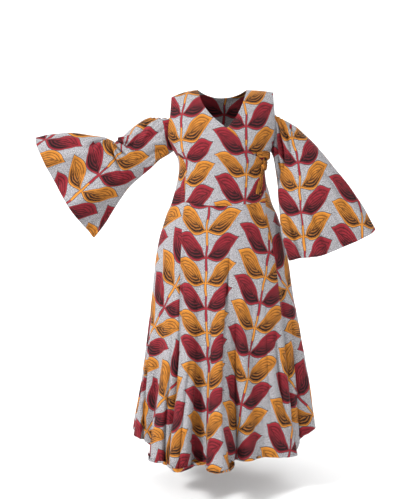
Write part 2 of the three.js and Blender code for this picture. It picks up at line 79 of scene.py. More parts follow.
# drop, half width to the right and to the left, depth to the front and to the back, power
GIRTHS = (
    (0, 203, 203, 92, 88, 2.3),
    (60, 204, 203, 100, 98, 2.3),
    (110, 204, 200, 111, 104, 2.3),
    (156, 198, 193, 120, 107, 2.3),
    (200, 178, 178, 122, 106, 2.3),
    (214, 171, 172, 120, 105, 2.3),
    (246, 156, 160, 113, 100, 2.3),
    (276, 153, 152, 108, 97, 2.3),
    (331, 161, 157, 106, 102, 2.25),
    (388, 176, 171, 112, 114, 2.2),
    (446, 200, 199, 121, 132, 2.2),
    (532, 225, 223, 131, 152, 2.1),
    (605, 238, 238, 138, 162, 2.1),
    (752, 253, 260, 152, 180, 2.05),
    (901, 269, 285, 168, 200, 2),
    (1051, 287, 308, 184, 222, 2),
    (1204, 311, 326, 198, 244, 2),
    (1310, 324, 337, 207, 258, 2),
)

NECK_HALF = 87
SLOPE_RIGHT, SLOPE_LEFT = 0.33, 0.1
SHOULDER_LONG = 116
SHOULDER_CURVE = 0.8
SLOPE_REACH = 210
ROLL_DEPTH = 110
ROLL_POWER = 0.62
BACK_NECK_DROP = 28
BACK_NECK_FADE = 120
NECK_TURN = 21.9
UNDERARM_DROP = 214

# drop, turn: the armhole's front edge down to the underarm, then the side-front seam
FRONT_EDGE = (
    (0, 59.5), (50, 60.5), (100, 64), (150, 70.5), (185, 77.5), (205, 84.5), (214, 90), (219, 79),
    (228, 67), (245, 57.5), (275, 52), (311, 54), (383, 47), (469, 40.5), (541, 38.2), (688, 36),
    (988, 33.5), (1310, 30.5),
)
# drop, turn: the V edge, then the wrap's free edge
OVER_EDGE = (
    (0, -21.9), (47, -16.4), (85, -8.9), (113, -1.5), (128, 2.2), (151, 9.1), (166, 14.6), (197, 25.2),
    (227, 41), (250, 60), (262, 66), (300, 67), (350, 64), (400, 56), (449, 46.5), (500, 47.6), (570, 49.3),
    (700, 50.6), (936, 50), (1154, 49.5), (1310, 53.5),
)
# how far the under front's edge is moved near the V's point, and the drops between which it is
NECK_SHIFT = 5.5
NECK_SHIFT_DROPS = (30, 140, 150, 250)
WAIST_DROP = 387
WAIST_DIP = 11
WAIST_DIP_HALF = 60
# turn, drop
HEM = (
    (-180, 1302), (-130, 1286), (-90, 1234), (-68, 1238), (-57, 1270), (-50, 1300), (-25, 1302),
    (-14, 1296), (-3, 1304), (8, 1290), (28, 1288), (53, 1294), (61, 1262), (67, 1234), (76, 1217),
    (90, 1215), (130, 1282), (180, 1302),
)
UNDER_HEM_LIFT = 8
LONGEST = 1307

# turn on the hem, half width in degrees, stand, drop where it starts
FLUTES = (
    (-89, 13, 14, 640), (-70, 10, 26, 560), (-57, 6, -18, 700), (-44, 10.5, 34, 600), (-28.6, 5.2, 53, 520),
    (-24, 4.8, 56, 520), (-5.2, 2.9, 66, 540), (-2.4, 2.8, 69, 540), (0.4, 2.9, 70, 540),
    (8.5, 7, -34, 640), (28, 14, -28, 620), (60, 7, -14, 640), (74, 11, 20, 560), (94, 12, 12, 700),
    (114, 12, 34, 620), (137, 12, 50, 540), (160, 11, 40, 660), (-178, 12, 54, 500), (-154, 12, 42, 620),
    (-130, 11, 52, 560), (-109, 10, 30, 680),
)
FLUTE_GROWTH = 1.25
FLUTE_FLARE = 0.24

# ---- Creases of the body: turn and drop of both ends, half width, stand ----
CREASES = (
    # pulled to the knot across the bust and the waist
    (54, 262, 12, 232, 13, 4.2), (50, 268, 22, 282, 11, -3.8), (52, 276, 8, 322, 12, 3.2),
    (46, 252, 20, 214, 12, -3.2), (58, 285, 34, 352, 10, 3.5), (60, 292, 46, 372, 9, -3.2),
    # down from the right shoulder strap and in from the right underarm
    (-50, 70, -28, 150, 16, 2.9), (-63, 165, -38, 196, 12, -3.8), (-74, 206, -46, 232, 10, 4.2),
    (-60, 236, -38, 268, 11, -3.5), (-54, 262, -30, 306, 12, 3.2), (-70, 262, -50, 300, 9, 2.9),
    # in from the left underarm
    (64, 120, 54, 178, 9, 3.8), (58, 110, 47, 172, 9, -4.2), (74, 190, 48, 212, 10, 3.5),
    (70, 206, 50, 236, 9, -3.8),
    # over the waist seam and the hips
    (-30, 350, -26, 420, 12, -2.9), (-14, 362, -12, 440, 10, 2.6), (6, 366, 8, 452, 13, -2.9),
    (24, 358, 20, 430, 11, 2.9), (40, 372, 37, 470, 12, -3.5), (-42, 380, -36, 500, 14, 3.8),
    (-62, 330, -58, 430, 12, -3.8), (-80, 322, -74, 440, 14, 3.5),
    # the deep gaps between the flutes of the skirt, and the shadow along the wrap's free edge
    (-72, 850, -50, 1560, 7, -26), (-41, 880, -30, 1640, 6, -17), (-21, 860, -18, 1660, 7, -18),
    (-14.2, 800, -13.2, 1600, 19, -17), (-9.5, 900, -9.5, 1600, 6, -6),
    (6.8, 500, 5.2, 1460, 6.5, -22), (11, 700, 13, 1500, 9, -9), (43, 800, 47, 1230, 10, -14),
    (36, 700, 39, 1400, 10, -6), (25, 640, 27, 1500, 12, -6), (17, 560, 18, 1120, 12, 5),
    (-6, 740, 4, 900, 8, -4), (1, 760, 8, 930, 7, 3.5), (-32, 470, -33, 800, 9, -5),
    (-52, 520, -58, 900, 9, 6), (60, 620, 62, 1500, 8, -16), (68, 760, 66, 1600, 7, -14),
    (84, 700, 86, 1600, 9, 8),
    # the sides and the back
    (84, 240, 104, 292, 11, 3.5), (92, 270, 124, 306, 12, -3.2), (96, 316, 92, 420, 14, 3.8),
    (118, 330, 122, 430, 15, -3.5), (142, 250, 158, 214, 14, 2.9), (150, 330, 154, 452, 14, 3.5),
    (172, 318, 170, 440, 13, -3.2), (196, 332, 192, 470, 15, 3.8), (214, 300, 206, 398, 12, -2.9),
    (232, 262, 206, 226, 13, 3.2), (242, 318, 238, 430, 14, 3.5), (262, 250, 236, 284, 11, -3.5),
    (268, 224, 246, 240, 9, 3.2), (150, 66, 160, 170, 18, 2.6), (208, 60, 200, 176, 17, -2.6),
    (102, 620, 106, 1600, 8, -18), (123, 560, 126, 1600, 9, -16), (147, 700, 149, 1640, 7, -20),
    (171, 520, 170, 1560, 8, -22), (193, 640, 194, 1600, 8, -18), (214, 560, 217, 1640, 7, -20),
    (238, 700, 240, 1600, 9, -16), (256, 600, 260, 1560, 8, -18),
)

# ---- Small folds of the skirt: turn on the hem, half width in degrees, stand, drops of both ends ----
SMALL_FOLDS = (
    (-81, 4.2, -7, 700, 1320), (-64, 4, 6, 820, 1320), (-50, 3.6, -9, 760, 1320), (-37, 3.8, 7, 560, 1160),
    (-33.5, 3.2, -8, 860, 1320), (-20, 3, 6, 700, 1060), (-15, 3.4, -9, 900, 1320), (-9, 3.6, 5, 560, 900),
    (2.5, 3, 6, 640, 1010), (14, 3.6, 7, 700, 1230), (21, 4.2, -5, 840, 1320), (33, 4.6, 5, 620, 1120),
    (41, 3.6, -4, 900, 1320), (48, 3.2, 4, 760, 1200), (66, 3.4, -8, 760, 1320), (83, 4, 7, 680, 1240),
    (89, 3.4, -6, 900, 1320), (103, 4.4, -9, 720, 1320), (108, 3.4, 6, 560, 980), (124, 4, -10, 760, 1320),
    (131, 3.4, 7, 900, 1320), (148, 4.2, -9, 700, 1320), (153, 3.4, 5, 560, 1000),
    (169, 4.2, -10, 820, 1320), (-170, 3.8, 8, 700, 1160), (-165, 3.4, -8, 900, 1320),
    (-144, 4.2, -10, 700, 1320), (-137, 3.4, 7, 840, 1320), (-120, 4.2, -9, 780, 1320),
    (-114, 3.2, 6, 600, 1060), (-99, 4, -8, 740, 1320), (-94, 3.2, 6, 900, 1320),
)

# ---- Sleeves, a row for each section: top edge x, y, z; underside x, y, z; half depths; bend x, z ----
RIGHT_SLEEVE = (
    (-252, 0, -101, -172, 0, -213, 56, 50, 28, 50),
    (-272, 0, -105, -192, 0, -227, 64, 52, 16, 28),
    (-298, 0, -119, -221, 0, -244, 66, 50, 7, 13),
    (-328, -4, -141, -256, 0, -277, 66, 46, 2, 4),
    (-354, -8, -167, -290, 0, -305, 62, 42, 0, 0),
    (-380, -14, -180, -326, -4, -337, 60, 38, 0, 0),
    (-414, -18, -166, -358, -8, -378, 62, 36, -2, -1),
    (-466, -22, -157, -388, -12, -424, 64, 36, -4, -2),
    (-530, -24, -150, -412, -16, -462, 66, 38, -6, -4),
    (-596, -26, -153, -436, -20, -496, 68, 40, -9, -6),
    (-655, -28, -166, -456, -24, -521, 70, 42, -12, -8),
)
LEFT_SLEEVE = (
    (227, 0, -116, 173, 0, -213, 56, 50, -20, 70),
    (261, -2, -131, 183, 0, -240, 64, 50, -12, 24),
    (295, -6, -159, 190, -8, -278, 66, 48, -4, 8),
    (330, -12, -193, 196, -22, -328, 66, 44, 0, 0),
    (366, -18, -235, 199, -42, -384, 66, 40, 0, 0),
    (404, -24, -283, 203, -62, -442, 66, 38, 0, -2),
    (447, -30, -340, 208, -80, -496, 66, 38, -1, -5),
    (493, -34, -404, 218, -92, -544, 68, 40, -2, -11),
    (543, -38, -486, 232, -100, -587, 70, 42, -3, -19),
)
HOLE_DROP = 110
ROOT_STANDOFF = 1.2
ROOT_REACH = 0.14
GATHERS = 10
GATHER_DEPTH = 4
GATHER_REACH = 0.3
GATHER_DRIFT = 9
FRILL_OUT, FRILL_UP = 0.4, 0.9
# a sleeve's length, and the width of a degree at its head and how much that grows to its hem
SLEEVE_LONG = 560
DEGREE_AT_HEAD, DEGREE_GROWTH = 1.1, 0.9
ARMHOLE_DROPS = (80, 115, 150, 182, 204, 214)

# turn round the section, half width, stand at the hem, where it starts
RIGHT_SLEEVE_FOLDS = (
    (34, 24, 9, 0.5), (76, 22, -13, 0.42), (112, 22, 15, 0.36), (148, 18, -12, 0.5), (210, 20, -12, 0.45),
    (248, 22, 14, 0.4), (292, 24, -12, 0.5),
)
LEFT_SLEEVE_FOLDS = (
    (35, 24, 9, 0.5), (74, 20, -14, 0.4), (106, 20, 15, 0.35), (136, 16, -14, 0.4), (160, 14, 12, 0.4),
    (208, 20, -10, 0.45), (248, 24, 14, 0.4), (294, 24, -12, 0.5),
)

# ---- Creases of the sleeves: turn and share along of both ends, half width, stand ----
RIGHT_SLEEVE_CREASES = (
    # from the dip at the elbow
    (-46, 0.505, 40, 0.5, 7, -9), (-30, 0.44, 34, 0.42, 8, 5), (24, 0.43, 60, 0.33, 5, -13),
    (4, 0.5, 82, 0.29, 6, -17), (2, 0.46, 54, 0.27, 7, 10), (6, 0.49, 76, 0.36, 7, 10),
    (8, 0.51, 94, 0.4, 6, -16), (14, 0.54, 100, 0.49, 7, 7), (16, 0.55, 116, 0.52, 7, -12),
    (6, 0.53, 50, 0.74, 6, -14), (10, 0.56, 62, 0.7, 7, 6), (-6, 0.5, -78, 0.3, 8, -9),
    (-4, 0.54, -92, 0.46, 9, 7), (-10, 0.57, -86, 0.66, 9, -7), (60, 0.36, 128, 0.3, 8, -6),
    (120, 0.55, 66, 0.7, 10, -6), (38, 0.07, 67, 0.34, 9, -9), (56, 0.05, 84, 0.28, 8, 6),
    # up under the arm
    (150, 0.05, 112, 0.34, 7, -8), (164, 0.06, 140, 0.36, 8, 6), (132, 0.05, 96, 0.24, 8, 5),
    (104, 0.03, 84, 0.2, 7, -5), (204, 0.05, 196, 0.3, 9, -4), (238, 0.06, 226, 0.3, 10, 4),
    # down the bell
    (20, 0.62, 22, 1.05, 12, -6), (56, 0.6, 66, 1.2, 11, 7), (88, 0.56, 84, 1.2, 10, -9),
    (112, 0.6, 108, 1.2, 11, 6), (138, 0.62, 134, 1.2, 10, -8), (164, 0.6, 166, 1.1, 11, -6),
    (228, 0.62, 230, 1.05, 12, 5), (270, 0.6, 272, 1.05, 13, -5), (312, 0.66, 316, 1.05, 12, 4.5),
    (340, 0.7, 342, 1.05, 11, -4),
)
LEFT_SLEEVE_CREASES = (
    # down from the gathers and under the arm
    (86, 0, 138, 0.34, 6, -17), (94, 0, 152, 0.32, 7, 11), (104, 0, 164, 0.38, 6, -18),
    (120, 0, 172, 0.36, 7, 10), (136, 0, 184, 0.42, 6, -15), (76, 0, 112, 0.36, 6, 8),
    (68, 0, 96, 0.3, 7, -8), (56, 0, 74, 0.22, 7, 5), (46, 0, 56, 0.28, 7, -5),
    (30, 0, 36, 0.2, 7, 4), (206, 0.04, 200, 0.36, 8, -6), (228, 0.04, 220, 0.3, 9, 6),
    (252, 0.04, 246, 0.34, 9, -5),
    # the elbow
    (30, 0.3, 92, 0.24, 10, -3.5), (44, 0.36, 108, 0.42, 11, 3.5), (330, 0.3, 268, 0.26, 11, 3.5),
    (322, 0.38, 262, 0.42, 10, -3.5),
    # down the bell
    (16, 0.5, 18, 1.1, 12, 6), (46, 0.4, 52, 1.2, 11, -7), (76, 0.46, 78, 1.2, 11, 6),
    (100, 0.42, 98, 1.2, 10, -8), (122, 0.44, 123, 1.2, 9, -9), (148, 0.5, 148, 1.2, 9, 10),
    (170, 0.56, 172, 1.05, 9, -5), (228, 0.5, 230, 1.05, 12, 5), (272, 0.5, 274, 1.05, 12, -5),
    (318, 0.54, 320, 1.05, 12, 4.5), (344, 0.6, 346, 1.05, 11, -4),
)

# ---- Gathers at the head of a sleeve: turn, half width in degrees, stand, share where they end ----
HEAD_GATHERS = (
    (-84, 5, 4.9, 0.2), (-73, 6, -5.5, 0.13), (-62, 5, 4.3, 0.24), (-52, 4, -4.1, 0.1), (-43, 5, 5.5, 0.17),
    (-32, 4, -4.6, 0.22), (-24, 4, 3.8, 0.09), (-15, 5, -5.2, 0.16), (-5, 4, 4.9, 0.25), (5, 5, -4.9, 0.12),
    (14, 4, 4.3, 0.2), (23, 4, -5.2, 0.26), (33, 5, 5.2, 0.11), (44, 5, -4.6, 0.2), (54, 4, 4.3, 0.28),
    (63, 5, -5.5, 0.15), (74, 5, 4.9, 0.22), (84, 5, -4.3, 0.12),
)

# ---- Tie: turn, drop, lift, width ----
TIE_THICK = 1.6
TIE_BASE = 3
FRONT_TIE = (
    (40, 222, 0, 22), (48, 219, 0, 22), (56, 218, 1, 21), (64, 224, 3, 18), (67, 236, 5, 14),
)
BACK_TIE = (
    (76, 262, 2, 15), (100, 261, 0.6, 21), (140, 259, 0.3, 22), (180, 258, 0, 22), (220, 259, 0.3, 22),
    (258, 262, 0.3, 22),
)
TIE_TAIL = (
    (57.5, 284, 2, 13), (55, 305, 0.5, 19), (51, 332, 0.3, 22), (46, 362, 0.5, 22),
)
KNOT_TURN, KNOT_DROP, KNOT_LEAN = 58.5, 263, 22
KNOT_OUT = LAYER_STEP + 9

# shift and turn of the ties on the print: along an orange leaf
TIE_CUT = (0.0867, 0.2002, 53.2)

# ---- Resolution ----
BACK_COLUMNS = 204
FRONT_COLUMNS = 160
BODICE_STEP = 4.5
SKIRT_STEP = 7.5
UNDERARM_STEP = 2.2
SLEEVE_COLUMNS = 264
SLEEVE_ROWS = 136
BAND_COLUMNS = 14
BAND_STEP = 2.5
# how much closer together columns and rows lie towards the edges
GRADING = 0.62
ROW_GRADING = 1.15
EDGE_ROUNDS = 9

# ---- The cut: shift and turn of each piece of cloth on the print, metres and degrees ----
CUT = {
    "back": (0.021, 0.034, 4),
    "front_bodice_right": (0.047, 0.012, -16),
    "front_bodice_left": (0.013, 0.061, 14),
    "skirt_front_right": (0.035, 0.071, -5),
    "skirt_front_left": (0.063, 0.027, 5),
    "sleeve_right": (0.052, 0.043, 38),
    "sleeve_left": (0.018, 0.066, -34),
}


# ---- Small functions ----
TINY = 1e-12


def mix(a, b, t):
    return a + (b - a) * t


def smooth(t):
    c = np.clip(t, 0, 1)
    return c * c * (3 - 2 * c)


def stack(*values):
    return np.stack(values, axis=-1)


def unit(v):
    return v / np.maximum(np.linalg.norm(v, axis=-1, keepdims=True), TINY)


def wrap_turn(turn):
    return turn - 360 * np.round(turn / 360)


def sine_cosine(turn):
    return np.sin(np.radians(turn)), np.cos(np.radians(turn))


def ridge(turn, centre, half):
    """Where a turn lies across a ridge, from -1 to 1, and the share of the ridge's stand there."""
    t = np.clip(wrap_turn(turn - centre) / half, -1, 1)
    return t, np.cos(np.pi * t / 2) ** 2


class Curve:
    """A smooth curve through a table's points, with no overshoot."""

    def __init__(self, xs, ys):
        self.xs, self.ys = np.array(xs, float), np.array(ys, float)
        steps = np.diff(self.ys) / np.diff(self.xs)
        before, after = steps[:-1], steps[1:]
        same_way = before * after > 0
        inner = 2 * before * after / np.where(same_way, before + after, 1)
        self.slopes = np.concatenate((steps[:1], np.where(same_way, inner, 0), steps[-1:]))

    def __call__(self, x):
        x = np.clip(x, self.xs[0], self.xs[-1])
        i = np.clip(np.searchsorted(self.xs, x) - 1, 0, len(self.xs) - 2)
        width = self.xs[i + 1] - self.xs[i]
        t = (x - self.xs[i]) / width
        ends = self.ys[i] * (1 + 2 * t) * (1 - t) ** 2 + self.ys[i + 1] * t * t * (3 - 2 * t)
        return ends + width * t * (1 - t) * (self.slopes[i] * (1 - t) - self.slopes[i + 1] * t)


def by_column(rows, column):
    return Curve([row[0] for row in rows], [row[column] for row in rows])


def along_rows(rows, column):
    return Curve(np.linspace(0, 1, len(rows)), [row[column] for row in rows])


half_right, half_left, depth_front, depth_back, power = (by_column(GIRTHS, k) for k in range(1, 6))
front_edge, over_edge, hem_drop = (by_column(rows, 1) for rows in (FRONT_EDGE, OVER_EDGE, HEM))


# ---- The body surface ----
def waist_drop(turn):
    t = np.clip(wrap_turn(turn) / WAIST_DIP_HALF, -1, 1)
    return WAIST_DROP + WAIST_DIP * (1 + np.cos(np.pi * t)) / 2


def flutes_at(turn, drop):
    """How far the flutes and small folds stand out, and how far a flute's sides spread."""
    out = np.zeros(np.shape(turn))
    along = np.zeros(np.shape(turn))
    for centre, half, stand, start in FLUTES:
        t, share = ridge(turn, centre, half)
        grown = stand * np.clip((drop - start) / (LONGEST - start), 0, None) ** FLUTE_GROWTH
        out += grown * share
        along += grown * FLUTE_FLARE * np.sin(np.pi * t)
    for centre, half, stand, start, end in SMALL_FOLDS:
        run = np.clip((drop - start) / (min(end, LONGEST) - start), 0, 1)
        grown = stand * (run if end > LONGEST else np.sin(np.pi * run) ** 2)
        out += grown * ridge(turn, centre, half)[1]
    return out, along


def body_point(turn, drop):
    """The point of the body surface at a turn and a drop."""
    turn, drop = np.broadcast_arrays(np.asarray(turn, float), np.asarray(drop, float))
    sine, cosine = sine_cosine(turn)
    bend = 2 / power(drop)
    half_width = np.where(sine < 0, half_right(drop), half_left(drop))
    depth = np.where(cosine > 0, depth_front(drop), depth_back(drop))
    roll = (1 - (1 - np.clip(drop / ROLL_DEPTH, 0, 1)) ** 2) ** ROLL_POWER
    x = half_width * np.sign(sine) * np.abs(sine) ** bend
    y = -depth * roll * np.sign(cosine) * np.abs(cosine) ** bend
    fall = np.where(sine < 0, SLOPE_RIGHT, SLOPE_LEFT)
    beyond = np.maximum(0, np.abs(x) - NECK_HALF)
    slope = fall * beyond * (beyond / SHOULDER_LONG) ** SHOULDER_CURVE * smooth(1 - drop / SLOPE_REACH)
    out, along = flutes_at(turn, drop)
    square_x, square_y = sine / half_width, -cosine / depth
    length = np.hypot(square_x, square_y)
    square_x, square_y = square_x / length, square_y / length
    return stack(x + square_x * out - square_y * along, y + square_y * out + square_x * along, -drop - slope)


def degree_width(turn, drop):
    """The millimetres along the cloth in a degree of turn."""
    return np.linalg.norm(body_point(turn + 0.5, drop) - body_point(turn - 0.5, drop), axis=-1)


def body_scale(turn, drop):
    return float(degree_width(turn, drop)), 1.0


def grid_normals(points, ring=False):
    """Normals of a grid of points, out of its front, with rows downwards and columns towards the left."""
    down = np.gradient(points, axis=0)
    if ring:
        wide = np.concatenate((points[:, -1:], points, points[:, :1]), axis=1)
        across = (wide[:, 2:] - wide[:, :-2]) / 2
    else:
        across = np.gradient(points, axis=1)
    return unit(np.cross(down, across))


# ---- Creases ----
CREASE_REACH = 1.15
CREASE_BOW = 0.12
LIP_STAND = 0.45
LIP_WIDTH = 0.55


def crease_field(x, y, creases, scale_of):
    """The stand of the listed creases at points x, y. Each is a soft ridge or trough between two ends,
    deepest near the middle and steeper on one side. scale_of gives the millimetres in one unit of x and
    of y near a crease."""
    field = np.zeros(np.shape(x))
    for x0, y0, x1, y1, half, stand in creases:
        sx, sy = scale_of((x0 + x1) / 2, (y0 + y1) / 2)
        ax, ay = wrap_turn(x - x0) * sx, (y - y0) * sy
        bx, by = (x1 - x0) * sx, (y1 - y0) * sy
        length = math.hypot(bx, by)
        share = (ax * bx + ay * by) / length**2
        ends = smooth(CREASE_REACH - np.abs(share - 0.5) * 2)
        bowed = (ax * by - ay * bx) / length + CREASE_BOW * length * (share - share * share)
        lip = 1 + LIP_STAND * np.tanh(bowed / (LIP_WIDTH * half))
        field += stand * ends * lip * np.exp(-((bowed / half) ** 2))
    return field


def unevenness(points):
    """Cloth is never quite even: slow waves of well under a millimetre."""
    x, y, z = points[..., 0], points[..., 1], points[..., 2]
    waves = np.sin(x / 23 + 1.3 * np.sin(z / 61)) * np.sin(z / 31 + y / 27 + 0.7)
    return 0.5 * waves + 0.35 * np.sin((x - z) / 17 + y / 13 + 2.1) * np.sin((x + z) / 41)


def creased(points, stand, calm, ring=False):
    """A grid of points with its creases and unevenness, less of both where calm is below 1."""
    return points + grid_normals(points, ring) * (calm * (stand + unevenness(points)))[..., None]


def turned_share(from_edge):
    """1 where an edge's turned-in cloth lies behind, and 0 past it."""
    return smooth((TURNED_IN + TURNED_SOFT / 2 - from_edge) / TURNED_SOFT)


# ---- Meshes ----
SHARP_ANGLE = 55


def shell(name, outer, inner, flat, ring=False):
    """A closed thin shell between two grids of points, with the print's place as its UV map."""
    rows, columns = outer.shape[0] - 1, flat.shape[1] - 1
    wide = outer.shape[1]
    points = np.concatenate((outer.reshape(-1, 3), inner.reshape(-1, 3)))
    spots = np.concatenate((flat.reshape(-1, 2), flat.reshape(-1, 2)))
    across, down = np.arange(columns), np.arange(rows)
    j, i = np.meshgrid(down, across, indexing="ij")

    def corner(face, row, column):
        vertex = (face * (rows + 1) + row) * wide + column % wide
        spot = (face * (rows + 1) + row) * (columns + 1) + column
        return stack(vertex, spot).reshape(-1, 2)

    def quads(*corners):
        return np.stack([corner(*c) for c in corners], axis=1)

    faces = [
        quads((0, j, i), (0, j + 1, i), (0, j + 1, i + 1), (0, j, i + 1)),
        quads((1, j, i), (1, j, i + 1), (1, j + 1, i + 1), (1, j + 1, i)),
        quads((0, 0, across), (0, 0, across + 1), (1, 0, across + 1), (1, 0, across)),
        quads((0, rows, across), (1, rows, across), (1, rows, across + 1), (0, rows, across + 1)),
    ]
    if not ring:
        faces += [
            quads((0, down, 0), (1, down, 0), (1, down + 1, 0), (0, down + 1, 0)),
            quads((0, down, columns), (0, down + 1, columns), (1, down + 1, columns), (1, down, columns)),
        ]
    faces = np.concatenate(faces)
    return mesh_object(name, points, faces[..., 0], spots[faces[..., 1].reshape(-1)])


def mesh_object(name, points, faces, spots=None):
    mesh = bpy.data.meshes.new(name)
    mesh.from_pydata((points * MM).tolist(), [], [tuple(map(int, face)) for face in faces])
    if spots is not None:
        layer = mesh.uv_layers.new(name="cut")
        layer.data.foreach_set("uv", np.ascontiguousarray(spots, dtype=np.float32).reshape(-1))
    mesh.polygons.foreach_set("use_smooth", np.ones(len(mesh.polygons), dtype=bool))
    mesh.set_sharp_from_angle(angle=math.radians(SHARP_ANGLE))
    piece = bpy.data.objects.new(name, mesh)
    bpy.context.collection.objects.link(piece)
    return piece


def ring_quads(rings, sides, closed=False, first=0):
    """Quads between rings of points. closed joins the last ring to the first one."""
    return [
        (first + a + i, first + a + k, first + b + k, first + b + i)
        for a, b in ((j * sides, (j + 1) % rings * sides) for j in range(rings if closed else rings - 1))
        for i, k in ((i, (i + 1) % sides) for i in range(sides))
    ]


# ---- The flat cloth ----
FLAT_LEVELS = (8, 16, 32, 56)
FLAT_ROUNDS = 220
DIAGONAL_FIRM = 0.6
OVER_RELAX = 1.7


def arc_lengths(points, axis):
    steps = np.linalg.norm(np.diff(points, axis=axis), axis=-1)
    start = np.zeros_like(np.take(steps, [0], axis=axis))
    return np.concatenate((start, np.cumsum(steps, axis=axis)), axis=axis)


def flat_pattern(points, turns, centre, cut):
    """The place of each point on the flat cloth, in metres: lengths along and down the cloth are kept as
    near as a flat piece can, and the grain follows the centre line."""
    along, down = arc_lengths(points, 1), arc_lengths(points, 0)
    middle = np.array([np.interp(centre, t, a) for t, a in zip(turns, along)])
    flat = stack(along - middle[:, None], down)
    for count in FLAT_LEVELS:
        rows, columns = (np.unique(np.linspace(0, n - 1, count).round().astype(int)) for n in flat.shape[:2])
        coarse = relax(flat[np.ix_(rows, columns)], points, along, down, rows, columns)
        flat = spread(coarse, along, down, rows, columns)
    return place_on_print(flat[..., 0], flat[..., 1], cut)


def relax(flat, points, along, down, rows, columns):
    """Moves a coarse flat grid until its sides and diagonals have the cloth's lengths."""
    grid = np.ix_(rows, columns)
    wide, high = np.diff(along[grid], axis=1), np.diff(down[grid], axis=0)
    tangent_x, tangent_y = (unit(np.gradient(points, axis=axis)[grid]) for axis in (1, 0))
    lean = np.sum(tangent_x * tangent_y, axis=-1)
    lean = (lean[1:, 1:] + lean[:-1, 1:] + lean[1:, :-1] + lean[:-1, :-1]) / 4
    w, h = (wide[1:] + wide[:-1]) / 2, (high[:, 1:] + high[:, :-1]) / 2
    long_way, short_way = (np.sqrt(np.maximum(w * w + h * h + s * w * h * lean, 0)) for s in (2, -2))
    near, far, whole = slice(None, -1), slice(1, None), slice(None)
    ties = (
        ((whole, near), (whole, far), wide, 1.0),
        ((near, whole), (far, whole), high, 1.0),
        ((near, near), (far, far), long_way, DIAGONAL_FIRM),
        ((near, far), (far, near), short_way, DIAGONAL_FIRM),
    )
    flat = flat.copy()
    weight = np.zeros(flat.shape[:2])
    for a, b, _, firm in ties:
        weight[a] += firm
        weight[b] += firm
    for _ in range(FLAT_ROUNDS):
        shift = np.zeros_like(flat)
        for a, b, length, firm in ties:
            apart = flat[b] - flat[a]
            now = np.maximum(np.linalg.norm(apart, axis=-1), TINY)
            move = apart * (firm * 0.5 * (now - length) / now)[..., None]
            shift[a] += move
            shift[b] -= move
        flat += OVER_RELAX * shift / weight[..., None]
    return flat


def spread(coarse, along, down, rows, columns):
    """The fine flat grid between the points of a coarse one."""
    i, j = np.arange(along.shape[0])[:, None], np.arange(along.shape[1])[None, :]
    k = np.clip(np.searchsorted(rows, i, side="right") - 1, 0, len(rows) - 2)
    l = np.clip(np.searchsorted(columns, j, side="right") - 1, 0, len(columns) - 2)
    left, right = along[i, columns[l]], along[i, columns[l + 1]]
    top, low = down[rows[k], j], down[rows[k + 1], j]
    u = ((along - left) / np.maximum(right - left, TINY))[..., None]
    v = ((down - top) / np.maximum(low - top, TINY))[..., None]
    upper = mix(coarse[k, l], coarse[k, l + 1], u)
    lower = mix(coarse[k + 1, l], coarse[k + 1, l + 1], u)
    return mix(upper, lower, v)


def place_on_print(x, y, cut):
    shift_x, shift_y, turn = cut
    sine, cosine = sine_cosine(turn)
    x, y = x * MM, y * MM
    return stack(x * cosine - y * sine + shift_x, -x * sine - y * cosine + shift_y)


# ---- Panels of the body ----
def upper_lift(turn):
    return LAYER_STEP * smooth((wrap_turn(turn) + LAP_HALF) / (2 * LAP_HALF))


def lower_lift(turn):
    return upper_lift(turn) - LAYER_STEP


def no_lift(turn):
    return 0 * turn


def body_row(turn, row):
    """The drop of a row: 0 is the shoulder seam, 1 the waist seam and 2 the hem."""
    waist = waist_drop(turn)
    return np.where(row <= 1, row * waist, mix(waist, hem_drop(wrap_turn(turn)), row - 1))


def back_row(turn, row):
    drop = body_row(turn, row)
    t = wrap_turn(turn - 180) / NECK_TURN
    return drop + BACK_NECK_DROP * np.maximum(0, 1 - t * t) * np.maximum(0, 1 - drop / BACK_NECK_FADE)


def edge_turns(edge, row_at, rows):
    """The turns of an edge at a panel's rows, found in rounds because a row's drop varies with the turn."""
    turn = 90.0
    for _ in range(EDGE_ROUNDS):
        turn = edge(row_at(turn, rows))
    return turn


def right_seam(drop):
    return -front_edge(drop)


def lower_edge(drop):
    first, full, last, past = NECK_SHIFT_DROPS
    near_neck = smooth((drop - first) / (full - first)) * (1 - smooth((drop - last) / (past - last)))
    return NECK_SHIFT * near_neck - over_edge(drop)


def back_start(drop):
    return np.where(drop < UNDERARM_DROP, 180 - front_edge(drop), front_edge(drop))


def back_end(drop):
    return 360 - back_start(drop)


def bodice_rows():
    """Rows of a bodice, closer together at the shoulder, the underarm and the waist seam."""
    near_top = (0, 1, 2.5, 4.5, 7, 10, 13.5)
    upper = np.arange(17.5, 196, BODICE_STEP)
    underarm = np.arange(196, 250, UNDERARM_STEP)
    lower = np.arange(251, WAIST_DROP - 8, BODICE_STEP)
    near_seam = WAIST_DROP - np.array((6.5, 4, 2, 0.8, 0))
    return np.concatenate((near_top, upper, underarm, lower, near_seam)) / WAIST_DROP


def skirt_rows():
    """Rows of a skirt, closer together at the waist seam and the hem."""
    long = LONGEST - WAIST_DROP
    near_seam = np.array((0, 0.8, 2, 4, 6.5)) / long
    middle = np.linspace(11, long - 20, int(long / SKIRT_STEP)) / long
    near_hem = 1 - np.array((16, 12.5, 10, 6, 3, 1, 0)) / long
    return 1 + np.concatenate((near_seam, middle, near_hem))


def graded(count):
    """Columns from 0 to 1 that lie closer together at both ends."""
    t = np.linspace(0, 1, count + 1)
    return t - GRADING * np.sin(2 * np.pi * t) / (2 * np.pi)


